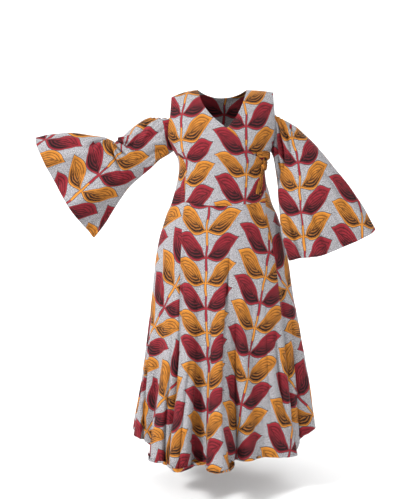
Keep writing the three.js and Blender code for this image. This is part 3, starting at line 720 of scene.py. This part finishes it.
class Panel:
    """A piece of cloth on the body surface: its grid, its normals and its distance from each edge."""

    def __init__(self, edges, row_at, rows, columns, top_trim=0, low_trim=0):
        start, end = (edge_turns(edge, row_at, rows)[:, None] for edge in edges)
        rows = rows[:, None]
        trim = SEAM_GAP / 2 / degree_width(start, row_at(start, rows))
        self.turn = mix(start + trim, end - trim, graded(columns)[None, :])
        self.drop = row_at(self.turn, rows)
        self.drop[0] += top_trim
        self.drop[-1] -= low_trim
        stand = crease_field(self.turn, self.drop, CREASES, body_scale)
        self.points = creased(body_point(self.turn, self.drop), stand, smooth(self.drop / SHOULDER_CALM))
        along, down = arc_lengths(self.points, 1), arc_lengths(self.points, 0)
        self.from_edge = {"first": along, "last": along[:, -1:] - along, "top": down, "low": down[-1:] - down}

    def near(self, edges, share):
        """The greatest share at any of the edges. edges maps an edge to where along it that counts."""
        shares = [np.where(where, share(self.from_edge[edge]), 0) for edge, where in edges.items()]
        return np.max(shares, axis=0)[..., None]

    def shell(self, name, lift, seams, turned, centre):
        """seams and turned map an edge to where along it (a mask or True) it is sewn or turned in."""
        normals = grid_normals(self.points)
        normals[self.drop < 1, 1] = 0
        self.normals = unit(normals)
        sink = SEAM_SINK * self.near(seams, lambda away: np.exp(-((away / SEAM_SOFT) ** 2)))
        rise = lift(self.turn)[..., None] - sink
        self.outer = self.points + self.normals * (rise + THICK / 2)
        folded = THICK / 2 + TURNED_THICK * self.near(turned, turned_share)
        inner = self.points + self.normals * (rise - folded)
        flat = flat_pattern(self.outer, self.turn, centre, CUT[name])
        return shell(name + "_cloth", self.outer, inner, flat)


def make_panels():
    bodice, skirt = bodice_rows(), skirt_rows()
    back, upper, lower = (back_start, back_end), (right_seam, over_edge), (lower_edge, front_edge)
    return {
        "back": Panel(back, back_row, np.concatenate((bodice, skirt[1:])), BACK_COLUMNS),
        "front_bodice_right": Panel(upper, body_row, bodice, FRONT_COLUMNS, low_trim=WAIST_TRIM),
        "front_bodice_left": Panel(lower, body_row, bodice, FRONT_COLUMNS, low_trim=WAIST_TRIM),
        "skirt_front_right": Panel(upper, body_row, skirt, FRONT_COLUMNS, WAIST_TRIM),
        "skirt_front_left": Panel(lower, body_row, skirt, FRONT_COLUMNS, WAIST_TRIM, UNDER_HEM_LIFT),
    }


def dress_panels(panels):
    pieces = {}
    for name, panel in panels.items():
        below = panel.drop > UNDERARM_DROP
        above = ~below
        if name == "back":
            neck = np.abs(wrap_turn(panel.turn - 180)) < NECK_TURN
            seams = {"first": below, "last": below, "top": ~neck}
            turned = {"first": above, "last": above, "top": neck, "low": True}
            lift, centre = no_lift, 180.0
        else:
            right = name.endswith("right")
            sewn, free = ("first", "last") if right else ("last", "first")
            seams = {sewn: below, "top": True}
            turned = {sewn: above, free: True}
            (turned if name.startswith("skirt") else seams)["low"] = True
            lift, centre = (upper_lift if right else lower_lift), 0.0
        pieces[name] = panel.shell(name, lift, seams, turned, centre)
    return pieces


# ---- Sleeves ----
class Sleeve:
    """A tube of cloth carried along its table. The turn is 0 at the top edge, 90 in front, 180 on the
    underside and 270 behind."""

    def __init__(self, rows, folds, hand):
        self.column = [along_rows(rows, k) for k in range(10)]
        self.folds = folds
        self.hand = hand
        self.hole = body_point(90.0 * hand, HOLE_DROP)

    def section(self, turn, along):
        value = [curve(along) for curve in self.column]
        top, low = stack(*value[:3]), stack(*value[3:6])
        sine, cosine = sine_cosine(turn)
        low_share = (1 - cosine) / 2
        depth = mix(value[6], value[7], low_share)
        point = mix(top, low, low_share[..., None])
        half = np.linalg.norm(low - top, axis=-1) / 2
        square = unit(low - top) * (-cosine / half)[..., None]
        square[..., 1] -= sine / depth
        point[..., 0] += value[8] * sine * sine
        point[..., 2] += value[9] * sine * sine
        point[..., 1] -= depth * sine
        stand = np.zeros(turn.shape)
        for centre, half_width, out, start in self.folds:
            stand += out * smooth((along - start) / (1 - start)) * ridge(turn, centre, half_width)[1]
        fade = np.maximum(0, 1 - along / GATHER_REACH) ** 1.5 * np.maximum(0, cosine) ** 0.5
        stand += 0.5 * GATHER_DEPTH * fade * np.cos(2 * GATHERS * np.radians(turn))
        for centre, half_width, out, end in HEAD_GATHERS:
            share = ridge(turn, centre + GATHER_DRIFT * along, half_width)[1]
            stand += out * np.clip(1 - along / end, 0, 1) ** 1.2 * share
        return point + unit(square) * stand[..., None]

    def armhole_point(self, row, behind):
        drop = np.array(ARMHOLE_DROPS, float)[row]
        edge = np.where(behind, 180 - front_edge(drop), front_edge(drop))
        point = body_point(edge * self.hand, drop)
        return point + unit(self.hole - point) * ROOT_STANDOFF

    def armhole(self, turn):
        last = len(ARMHOLE_DROPS) - 1
        place = np.clip((1 - np.abs(turn - 180) / 90) * last, 0, last)
        row = np.minimum(np.floor(place).astype(int), last - 1)
        behind = turn > 180
        share = (place - row)[..., None]
        return mix(self.armhole_point(row, behind), self.armhole_point(row + 1, behind), share)

    def root(self, turn):
        """The sleeve's edge at its head: sewn to the armhole below, free and frilled above."""
        around = np.mod(turn, 360)
        sine, cosine = sine_cosine(around)
        upper = np.clip(cosine, 0, 1)
        end = self.armhole(np.clip(around, 90, 270))
        top = self.section(np.zeros(1), np.zeros(1))[0]
        free = mix(end, top, upper[..., None])
        free[..., 1] = end[..., 1] * np.abs(sine)
        frill = GATHER_DEPTH * np.sqrt(upper) * np.cos(2 * GATHERS * np.radians(around))
        free[..., 0] += self.hand * frill * FRILL_OUT
        free[..., 2] += frill * FRILL_UP
        on_body = (around >= 90) & (around <= 270)
        return np.where(on_body[..., None], end, free)

    def surface(self, turn, along):
        fade = 1 - smooth(along / ROOT_REACH)
        start = self.section(turn, np.zeros(along.shape))
        return self.section(turn, along) + (self.root(turn) - start) * fade[..., None]


def sleeve_scale(_, along):
    return DEGREE_AT_HEAD + DEGREE_GROWTH * along, SLEEVE_LONG


def close_ring(grid):
    return np.concatenate((grid, grid[:, :1]), axis=1)


def dress_sleeve(name, rows, folds, creases, hand):
    """A sleeve's cloth, and the points and normals of its outside."""
    ring = np.linspace(0, 360, SLEEVE_COLUMNS + 1)
    along = np.linspace(0, 1, SLEEVE_ROWS + 1) ** ROW_GRADING
    along[-4:] = 1 - np.array((10, 6, 3, 0)) / SLEEVE_LONG
    turn, along = np.broadcast_arrays(-hand * (ring[None, :-1] + 180), along[:, None])
    stand = crease_field(turn, along, creases, sleeve_scale)
    calm = smooth(along / SLEEVE_CALM)
    points = creased(Sleeve(rows, folds, hand).surface(turn, along), stand, calm, ring=True)
    normals = grid_normals(points, ring=True)
    down = arc_lengths(points, 0)
    thick = TURNED_THICK * turned_share(down[-1:] - down)
    outer = points + normals * THICK / 2
    inner = points - normals * (THICK / 2 + thick[..., None])
    closed = close_ring(outer)
    flat = flat_pattern(closed, np.broadcast_to(ring, closed.shape[:2]), 180.0, CUT[name])
    return shell(name + "_cloth", outer, inner, flat, ring=True), closed, close_ring(normals)


# ---- Tie ----
# the band's turn round the knot: its radii to the side and outwards, half its thickness and half its width
WRAP_SIDE, WRAP_OUT = 12, 7.5
WRAP_THICK, WRAP_HALF = 2.5, 8.2
# the cloth through the knot: its lower and upper end, half its width and half its depth away from the pinch
CORE_LOW, CORE_HIGH = -25, 23
CORE_WIDE, CORE_DEEP = 10.5, 3
CORE_PINCH = 12
# the stretch and shift that lay the knot's print on an orange leaf
KNOT_PRINT = (1.2, 6, -1.1, 44)


def band_grid(path, base):
    turn, drop, lift, width = (along_rows(path, k) for k in range(4))
    samples = np.linspace(0, 1, 200)
    length = arc_lengths(body_point(turn(samples), drop(samples)), 0)[-1]
    share = np.linspace(0, 1, int(length / BAND_STEP) + 1)[:, None]
    scale = degree_width(turn(share), drop(share))
    ahead_x = (turn(share + 0.01) - turn(share - 0.01)) * scale
    ahead_y = drop(share + 0.01) - drop(share - 0.01)
    size = np.hypot(ahead_x, ahead_y)
    across = np.linspace(-0.5, 0.5, BAND_COLUMNS + 1)[None, :]
    offset = across * width(share)
    points = body_point(turn(share) + ahead_y / size * offset / scale, drop(share) - ahead_x / size * offset)
    normals = grid_normals(points)
    if np.mean(np.sum(normals * unit(points * np.array((1, 1, 0))), axis=-1)) < 0:
        normals = -normals
    fold = 0.5 * np.cos(across * 3 * np.pi) + 0.35 * np.sin(share * 17 + across * 5)
    rise = base + lift(share) + fold
    return points + normals * rise[..., None], normals, length, share, across


def dress_band(name, path, base):
    points, normals, length, share, across = band_grid(path, base)
    outer = points + normals * TIE_THICK / 2
    inner = points - normals * TIE_THICK / 2
    width = np.linalg.norm(points[:, -1] - points[:, 0], axis=-1)[:, None]
    flat = place_on_print(across * width, share * length, TIE_CUT)
    if np.sum(np.cross(np.gradient(points, axis=0), np.gradient(points, axis=1)) * normals) < 0:
        outer, inner, flat = outer[:, ::-1], inner[:, ::-1], flat[:, ::-1]
    return shell(name + "_cloth", outer, inner, flat)


def circle(count):
    return np.arange(count) * 2 * np.pi / count


def knot_wrap():
    """The turn of the band round the knot, in its own frame: x to the side, y up, z out."""
    s, t = np.meshgrid(circle(72), circle(32), indexing="ij")
    side = np.sign(np.cos(t)) * np.abs(np.cos(t)) ** 0.8
    half = WRAP_HALF + 1.6 * np.cos(s - 0.6) + 0.7 * np.sin(3 * s)
    pleat = 0.75 * np.cos(side * 8.2 + 0.9 * np.sin(s)) + 0.3 * np.sin(side * 15 + 2 * s)
    radial = WRAP_THICK * np.sin(t) + np.where(np.sin(t) > 0, pleat, 0)
    height = half * side + 1.6 * np.cos(s)
    return stack((WRAP_SIDE + radial) * np.cos(s), height, (WRAP_OUT + radial) * np.sin(s))


def knot_core():
    """The pleated cloth that runs through the knot, wide at both ends."""
    y = np.linspace(CORE_LOW, CORE_HIGH, 40)[:, None]
    t = circle(36)[None, :]
    pinch = np.exp(-((y / CORE_PINCH) ** 2))
    pleat = 1 + 0.1 * np.cos(9 * t) * (0.5 + 0.5 * pinch)
    x = (CORE_WIDE - 2.5 * pinch) * np.cos(t) * pleat - 0.0042 * y * y * np.sign(y)
    z = (CORE_DEEP + 3.4 * pinch) * np.sin(t) * pleat - 1.4 * (1 - pinch)
    return stack(x, np.broadcast_to(y, x.shape), z)


def knot_faces(wrap, core):
    """Quads round both tubes, and a fan over each end of the core."""
    rings, sides = core.shape[:2]
    first = wrap.shape[0] * wrap.shape[1]
    last = first + (rings - 1) * sides
    ends = [range(first + sides - 1, first - 1, -1), range(last, last + sides)]
    return ring_quads(*wrap.shape[:2], closed=True) + ring_quads(rings, sides, first=first) + ends


def dress_knot():
    """The knot: the band's turn round the pleated cloth that runs through it."""
    wrap, core = knot_wrap(), knot_core()
    sine, cosine = sine_cosine(KNOT_LEAN)
    x, y, z = np.concatenate((wrap.reshape(-1, 3), core.reshape(-1, 3))).T[..., None]
    side = body_point(KNOT_TURN + 0.4, KNOT_DROP) - body_point(KNOT_TURN - 0.4, KNOT_DROP)
    down = body_point(KNOT_TURN, KNOT_DROP + 1) - body_point(KNOT_TURN, KNOT_DROP - 1)
    normal = unit(np.cross(down, side))
    ahead = unit(normal * np.array((1, 1, 0)))
    up = np.array((0, 0, 1.0))
    centre = body_point(KNOT_TURN, KNOT_DROP) + normal * KNOT_OUT
    placed = centre + (x * cosine + y * sine) * np.cross(up, ahead) + (y * cosine - x * sine) * up + z * ahead
    faces = knot_faces(wrap, core)
    stretch_x, shift_x, stretch_y, shift_y = KNOT_PRINT
    spots = place_on_print(x[:, 0] * stretch_x + shift_x, y[:, 0] * stretch_y + shift_y, TIE_CUT)
    return mesh_object("tie_knot_cloth", placed, faces, spots[[i for face in faces for i in face]])


# ---- Sewing ----
STITCH_LONG = 2.6
STITCH_PITCH = 3.6
STITCH_HALF = 0.32
STITCH_SINK = 0.1
NARROW_IN = 7
HEM_IN = 11
UNDERARM_CLEAR = 4
SHORTEST_RUN = 3


def line_inside(points, normals, distance, axis, end):
    """The line on a grid that runs a distance in from one edge: points and normals."""
    if axis == 0:
        points, normals = points.transpose(1, 0, 2), normals.transpose(1, 0, 2)
    if end:
        points, normals = points[:, ::-1], normals[:, ::-1]
    place = np.array([np.interp(distance, away, np.arange(len(away))) for away in arc_lengths(points, 1)])
    before = np.minimum(place.astype(int), points.shape[1] - 2)
    share = (place - before)[:, None]
    rows = np.arange(len(points))
    line, up = (mix(grid[rows, before], grid[rows, before + 1], share) for grid in (points, normals))
    return line, unit(up)


def stitches(name, lines):
    """Small stitches along lines on the cloth, as one mesh."""
    all_points, all_faces, count = [], [], 0
    ring = [(2 + k, 2 + (k + 1) % 4) for k in range(4)]
    spindle = np.array([face for a, b in ring for face in ((0, a, b), (1, b, a))])
    for points, normals in lines:
        along = arc_lengths(points, 0)
        centres = np.arange(STITCH_PITCH, along[-1] - STITCH_PITCH, STITCH_PITCH)
        at, after, before, up = (
            stack(*(np.interp(centres + shift, along, grid[:, k]) for k in range(3)))
            for grid, shift in ((points, 0), (points, 1), (points, -1), (normals, 0))
        )
        up, ahead = unit(up), unit(after - before)
        side = np.cross(up, ahead)
        corners = [at + ahead * s * STITCH_LONG / 2 - up * STITCH_SINK for s in (-1, 1)]
        corners += [at + way * STITCH_HALF for way in (side, up * 1.2, -side, -up)]
        all_points.append(np.stack(corners, axis=1).reshape(-1, 3))
        all_faces.append((spindle + np.arange(len(at))[:, None, None] * 6 + count).reshape(-1, 3))
        count += len(at) * 6
    return mesh_object(name, np.concatenate(all_points), np.concatenate(all_faces))


def edge_lines(points, normals, axis, end, where, distance):
    """The stretches of a line inside an edge on which where is true."""
    line, up = line_inside(points, normals, distance, axis, end)
    mask = np.broadcast_to(where, len(line)).astype(int)
    ends = np.flatnonzero(np.diff(np.concatenate(([0], mask, [0]))))
    return [(line[a:b], up[a:b]) for a, b in zip(ends[::2], ends[1::2]) if b - a > SHORTEST_RUN]


def panel_lines(name, panel):
    """The lines of stitches along a panel's turned edges."""
    above = panel.drop < UNDERARM_DROP - UNDERARM_CLEAR
    hem = (0, True, True, HEM_IN)
    right = name.endswith("right")
    if name == "back":
        neck = np.abs(wrap_turn(panel.turn[0] - 180)) < NECK_TURN
        edges = [(1, end, above[:, 0], NARROW_IN) for end in (False, True)]
        edges += [(0, False, neck, NARROW_IN), hem]
    elif name.startswith("skirt"):
        edges = [(1, right, True, NARROW_IN), hem]
    else:
        edges = [(1, right, True, NARROW_IN), (1, not right, above[:, 0 if right else -1], NARROW_IN)]
    return [line for edge in edges for line in edge_lines(panel.outer, panel.normals, *edge)]


# ---- Materials ----
class Graph:
    """A short way to write a material's nodes."""

    def __init__(self, name):
        self.material = bpy.data.materials.new(name)
        self.material.use_nodes = True
        self.tree = self.material.node_tree
        self.tree.nodes.clear()

    def node(self, kind, inputs, **settings):
        node = self.tree.nodes.new("ShaderNode" + kind)
        for key, value in settings.items():
            setattr(node, key, value)
        for key, value in inputs.items():
            if isinstance(value, bpy.types.NodeSocket):
                self.tree.links.new(value, node.inputs[key])
            else:
                node.inputs[key].default_value = value
        return node.outputs

    def math(self, operation, *values, clamp=False):
        return self.node("Math", dict(enumerate(values)), operation=operation, use_clamp=clamp)[0]

    def times(self, a, b, plus=None, clamp=False):
        if plus is None:
            return self.math("MULTIPLY", a, b, clamp=clamp)
        return self.math("MULTIPLY_ADD", a, b, plus, clamp=clamp)

    def less(self, a, b):
        return self.math("SUBTRACT", a, b)

    def mix(self, share, a, b):
        return self.node("Mix", {0: share, 6: a, 7: b}, data_type="RGBA")[2]

    def step(self, value, low, high):
        return self.node("MapRange", {0: value, 1: low, 2: high}, interpolation_type="SMOOTHSTEP")[0]

    def noise(self, vector, scale, detail=2.0, rough=0.5):
        inputs = {"Vector": vector, "Scale": scale, "Detail": detail, "Roughness": rough}
        return self.node("TexNoise", inputs)[0]

    def surface(self, colour, rough, more=()):
        shader = self.node("BsdfPrincipled", {"Base Color": colour, "Roughness": rough, **dict(more)})
        self.node("OutputMaterial", {0: shader[0]})
        return self.material


# the print, in metres: width of a leaf's column, height of a row, rise of a leaf in rows, half its height in
# rows and how pointed it is, a row's height square to a leaf, pitch of the lines, half a stem's width
COLUMN = 0.112
ROW = 0.09
RISE = 0.95
LEAF_HALF = 0.485
LEAF_POINT = 1.45
ROW_ACROSS = 0.0715
LINE_PITCH = 0.0084
STEM_HALF = 0.0035
# how far the print drifts and its edges fray, how soft they are, and the rim of a leaf that has no lines
DRIFT = 0.016
FRAY = 0.0012
EDGE_SOFT = 0.0003
RIM = (0.005, 0.0034)
THREAD_PITCH = 0.0007
RED_LIGHT = (0.238, 0.012, 0.021, 1)
RED_MID = (0.068, 0.005, 0.0085, 1)
RED_DARK = (0.005, 0.002, 0.003, 1)
ORANGE_LIGHT = (0.47, 0.175, 0.02, 1)
ORANGE_MID = (0.2, 0.066, 0.009, 1)
ORANGE_DARK = (0.008, 0.005, 0.004, 1)
OUTLINE = (0.02, 0.013, 0.013, 1)
GROUND = (0.375, 0.365, 0.378, 1)
GROUND_DARK = (0.075, 0.07, 0.078, 1)
WHITE = (1, 1, 1, 1)


def leaves(g, x, y):
    """Pointed leaves in mirrored columns on upright stems. Gives how far out from the stem a point is (0 to
    1), how far above the leaf's rib in rows, how far inside the leaf in metres, and whether it is orange."""
    wide = g.math("DIVIDE", x, COLUMN)
    column = g.math("FLOOR", wide)
    odd = g.math("FLOORED_MODULO", column, 2)
    out = g.math("ABSOLUTE", g.less(g.less(wide, column), odd))
    stem = g.math("FLOOR", g.times(g.math("ADD", column, 1), 0.5))
    high = g.times(stem, 0.5, g.math("DIVIDE", y, ROW))
    level = g.less(high, g.times(out, RISE))
    row = g.math("FLOOR", level)
    above = g.less(g.less(level, row), 0.5)
    bow = g.times(g.times(out, 4), g.less(1, out))
    half = g.times(g.math("POWER", bow, LEAF_POINT), LEAF_HALF)
    leaf = g.times(g.less(half, g.math("ABSOLUTE", above)), ROW_ACROSS)
    reach = g.times(g.math("SINE", g.times(high, 2 * math.pi)), 0.15, 1)
    trunk = g.less(g.times(reach, STEM_HALF), g.times(out, COLUMN))
    orange = g.math("FLOORED_MODULO", g.math("ADD", stem, row), 2)
    return out, above, g.math("MAXIMUM", leaf, trunk), orange


def cotton(name):
    """Wax-printed cotton: rows of pointed leaves over a crackled grey ground."""
    g = Graph(name)
    cloth = g.node("UVMap", {}, uv_map="cut")[0]
    drift = g.node("TexNoise", {"Vector": cloth, "Scale": 14, "Detail": 1})["Color"]
    drifted = g.node("SeparateColor", {0: drift})
    split = g.node("SeparateXYZ", {0: cloth})
    x, y = (g.times(g.less(drifted[k], 0.5), DRIFT, split[k]) for k in (0, 1))
    out, above, inside, orange = leaves(g, x, y)
    edge = g.times(g.less(g.noise(cloth, 240, 2, 0.6), 0.5), FRAY, inside)
    leaf = leaf_colour(g, cloth, out, above, edge, orange)
    colour = g.mix(g.step(edge, -EDGE_SOFT, EDGE_SOFT), ground_colour(g, cloth), leaf)
    outline = g.step(g.math("ABSOLUTE", g.math("ADD", edge, 0.0004)), 0.0014, 0.0007)
    colour = g.mix(g.times(outline, 0.85), colour, OUTLINE)
    more = {"Specular IOR Level": 0.18, "Sheen Weight": 0.04, "Sheen Roughness": 0.45}
    return g.surface(colour, 0.78, {**more, "Normal": weave(g, split, cloth)})


def leaf_colour(g, cloth, out, above, edge, orange):
    """Dark contour lines over a leaf, heavy below its rib and near the stem, fine elsewhere."""
    light = g.mix(orange, RED_LIGHT, ORANGE_LIGHT)
    middle = g.mix(orange, RED_MID, ORANGE_MID)
    dark = g.mix(orange, RED_DARK, ORANGE_DARK)
    body = g.less(1, g.step(edge, *RIM))
    heavy = g.step(g.times(out, 0.62, above), 0.42, -0.02)
    wobble = g.times(g.less(g.noise(cloth, 130, 2, 0.6), 0.5), 3.2)
    waves = g.math("SINE", g.times(edge, 2 * math.pi / LINE_PITCH, wobble))
    line = g.times(g.less(waves, g.times(heavy, -0.75, 0.35)), 4.5, clamp=True)
    line = g.times(line, g.times(heavy, 0.36, 0.64))
    rib = g.times(g.step(g.math("ABSOLUTE", above), 0.03, 0.012), g.step(out, 0.92, 0.7))
    line = g.math("MAXIMUM", line, g.times(rib, 0.8))
    mottle = g.step(g.noise(cloth, 60, 3, 0.65), 0.38, 0.66)
    shade = g.times(mottle, 0.35, g.times(heavy, 0.65, 0.25), clamp=True)
    paint = g.mix(g.times(shade, body), light, middle)
    return g.mix(g.times(line, body), paint, dark)


def ground_colour(g, cloth):
    """Grey with a fine dark crackle and specks, as wax leaves on cloth."""
    crackle = g.node("TexVoronoi", {"Vector": cloth, "Scale": 210}, feature="DISTANCE_TO_EDGE")
    veins = g.step(crackle["Distance"], 0.16, 0.04)
    speckle = g.step(g.noise(cloth, 300, 3, 0.7), 0.42, 0.6)
    return g.mix(g.times(veins, 0.42, g.times(speckle, 0.5), clamp=True), GROUND, GROUND_DARK)


def weave(g, split, cloth):
    """A plain weave, a little uneven, over a slight crumple, as bump."""
    waves = (g.math("SINE", g.times(split[k], 2 * math.pi / THREAD_PITCH)) for k in (0, 1))
    height = g.times(g.times(*waves), 0.35, g.noise(cloth, 900, 2, 0.6))
    crumple = g.node("Bump", {"Strength": 0.5, "Distance": 0.006, "Height": g.noise(cloth, 26)})[0]
    return g.node("Bump", {"Strength": 0.18, "Distance": 0.0003, "Height": height, "Normal": crumple})[0]


def thread_material():
    g = Graph("sewing_thread")
    noise = g.noise(g.node("TexCoord", {})["Object"], 300)
    return g.surface(g.mix(noise, (0.1, 0.08, 0.08, 1), (0.16, 0.13, 0.13, 1)), 0.6)


# ---- Stage, light and camera: metres, but the floor's outline in millimetres ----
FLOOR_Z = -1.44
FLOOR_REACH = 5200
FLOOR_BEND = 2400
WALL_TOP = 5200
FLOOR_SIDES = 96
BEND_STEPS = 16
CAMERA_AT = (-0.05, -3.5, -0.05)
CAMERA_AIM = (-0.05, 0, -0.567)
LENS = 70.9
# name, place, aim, size, watts
LIGHTS = (
    ("key", (-3.1, -2.3, 1.7), (0, 0, -0.6), 0.9, 235),
    ("fill", (2.6, -3.4, 0.5), (0, 0, -0.7), 1.8, 50),
    ("back", (1.5, 3.4, 2.2), (0, 0, -0.6), 2.0, 90),
)


def floor_material():
    """Near-white, and brighter towards the back by a little light of its own."""
    g = Graph("pale_floor")
    spot = g.node("TexCoord", {})["Object"]
    tone = g.mix(g.noise(spot, 3.0), (0.74, 0.74, 0.74, 1), (0.76, 0.76, 0.76, 1))
    glow = g.times(g.step(g.node("SeparateXYZ", {0: spot})[1], -0.5, 3), 0.42, 0.04)
    return g.surface(tone, 0.9, {"Emission Color": WHITE, "Emission Strength": glow})


def make_floor():
    """A pale round floor whose rim curves up, so that it has no horizon from any side."""
    profile = [(0.5, 0), (FLOOR_REACH * 0.4, 0), (FLOOR_REACH * 0.8, 0), (FLOOR_REACH, 0)]
    for k in range(1, BEND_STEPS + 1):
        angle = math.pi / 2 * k / BEND_STEPS
        profile.append((FLOOR_REACH + FLOOR_BEND * math.sin(angle), FLOOR_BEND * (1 - math.cos(angle))))
    profile.append((FLOOR_REACH + FLOOR_BEND, WALL_TOP))
    points = [
        (r * math.cos(angle), r * math.sin(angle), z + FLOOR_Z / MM)
        for r, z in profile for angle in circle(FLOOR_SIDES)
    ]
    faces = np.array(ring_quads(len(profile), FLOOR_SIDES))[:, ::-1]
    floor = mesh_object("floor", np.array(points), faces)
    floor.data.materials.append(floor_material())
    floor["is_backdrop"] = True


def aimed(name, data, place, aim):
    thing = bpy.data.objects.new(name, data)
    thing.location = place
    thing.rotation_euler = (Vector(aim) - Vector(place)).to_track_quat("-Z", "Y").to_euler()
    bpy.context.collection.objects.link(thing)
    return thing


def make_stage():
    make_floor()
    world = bpy.data.worlds.new("studio")
    world.use_nodes = True
    world.node_tree.nodes["Background"].inputs[0].default_value = WHITE
    bpy.context.scene.world = world
    for name, place, aim, size, watts in LIGHTS:
        light = bpy.data.lights.new(name, "AREA")
        light.shape = "DISK"
        light.size = size
        light.energy = watts
        aimed(name, light, place, aim).visible_camera = False
    bpy.context.scene.view_settings.view_transform = "Standard"


def make_camera():
    data = bpy.data.cameras.new("camera")
    data.sensor_width = 36
    data.lens = LENS
    bpy.context.scene.camera = aimed("camera", data, CAMERA_AT, CAMERA_AIM)


# ---- The dress ----
# Each piece's flat size in metres as width and length, its area, how it is held and what it rests on.
SHEETS = {
    "back": ((1.847, 1.423), 1.374, "hung", ()),
    "front_bodice_right": ((0.365, 0.507), 0.1085, "hung", ("back_cloth", "skirt_front_right_cloth")),
    "front_bodice_left": ((0.358, 0.508), 0.1047, "hung", ("back_cloth", "skirt_front_left_cloth")),
    "skirt_front_right": ((0.725, 0.96), 0.4476, "hung", ("front_bodice_right_cloth",)),
    "skirt_front_left": ((0.783, 0.972), 0.4581, "hung", ("front_bodice_left_cloth",)),
    "sleeve_right": ((0.827, 0.545), 0.2649, "gathered", ("front_bodice_right_cloth", "back_cloth")),
    "sleeve_left": ((0.775, 0.544), 0.2828, "gathered", ("front_bodice_left_cloth", "back_cloth")),
    "tie_front": ((0.0235, 0.07), None, "hung", ("front_bodice_right_cloth",)),
    "tie_back": ((0.0235, 0.42), None, "hung", ("back_cloth",)),
    "tie_tail": ((0.0238, 0.081), None, "hung", ("tie_knot_cloth",)),
}


def hand_in(piece, material, *nodes, slot=None):
    """Gives a piece its material and its body, and hides the parts of the model named by nodes. slot is not
    used.
    """
    piece.data.materials.append(material)
    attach(piece, "root")
    if nodes:
        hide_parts(*nodes)
    return piece


make_camera()
make_stage()
printed, tied, thread = cotton("printed_cotton"), cotton("tie_cotton"), thread_material()
panels = make_panels()
pieces = dress_panels(panels)
sleeves = {}
for side, *tables, hand in (
    ("sleeve_right", RIGHT_SLEEVE, RIGHT_SLEEVE_FOLDS, RIGHT_SLEEVE_CREASES, -1),
    ("sleeve_left", LEFT_SLEEVE, LEFT_SLEEVE_FOLDS, LEFT_SLEEVE_CREASES, 1),
):
    pieces[side], *sleeves[side] = dress_sleeve(side, *tables, hand)
for name, piece in pieces.items():
    hand_in(piece, printed, name, slot="printed_cotton")
ties = {
    "tie_front": dress_band("tie_front", FRONT_TIE, LAYER_STEP + TIE_BASE),
    "tie_back": dress_band("tie_back", BACK_TIE, TIE_BASE),
    "tie_tail": dress_band("tie_tail", TIE_TAIL, LAYER_STEP + TIE_BASE),
    "tie_knot": dress_knot(),
}
for name, piece in ties.items():
    hand_in(piece, tied, name, slot="tie_cotton")

for name, panel in panels.items():
    hand_in(stitches(name + "_stitches", panel_lines(name, panel)), thread)
for name, outside in sleeves.items():
    hand_in(stitches(name + "_stitches", edge_lines(*outside, 0, True, True, HEM_IN)), thread)

for name, (flat, area, held, rests_on) in SHEETS.items():
    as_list(rests_on)

new_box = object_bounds()
boxes = {"cad": CAD_BOX, "scene": new_box}
{name: [list(map(float, corner)) for corner in box] for name, box in boxes.items()}
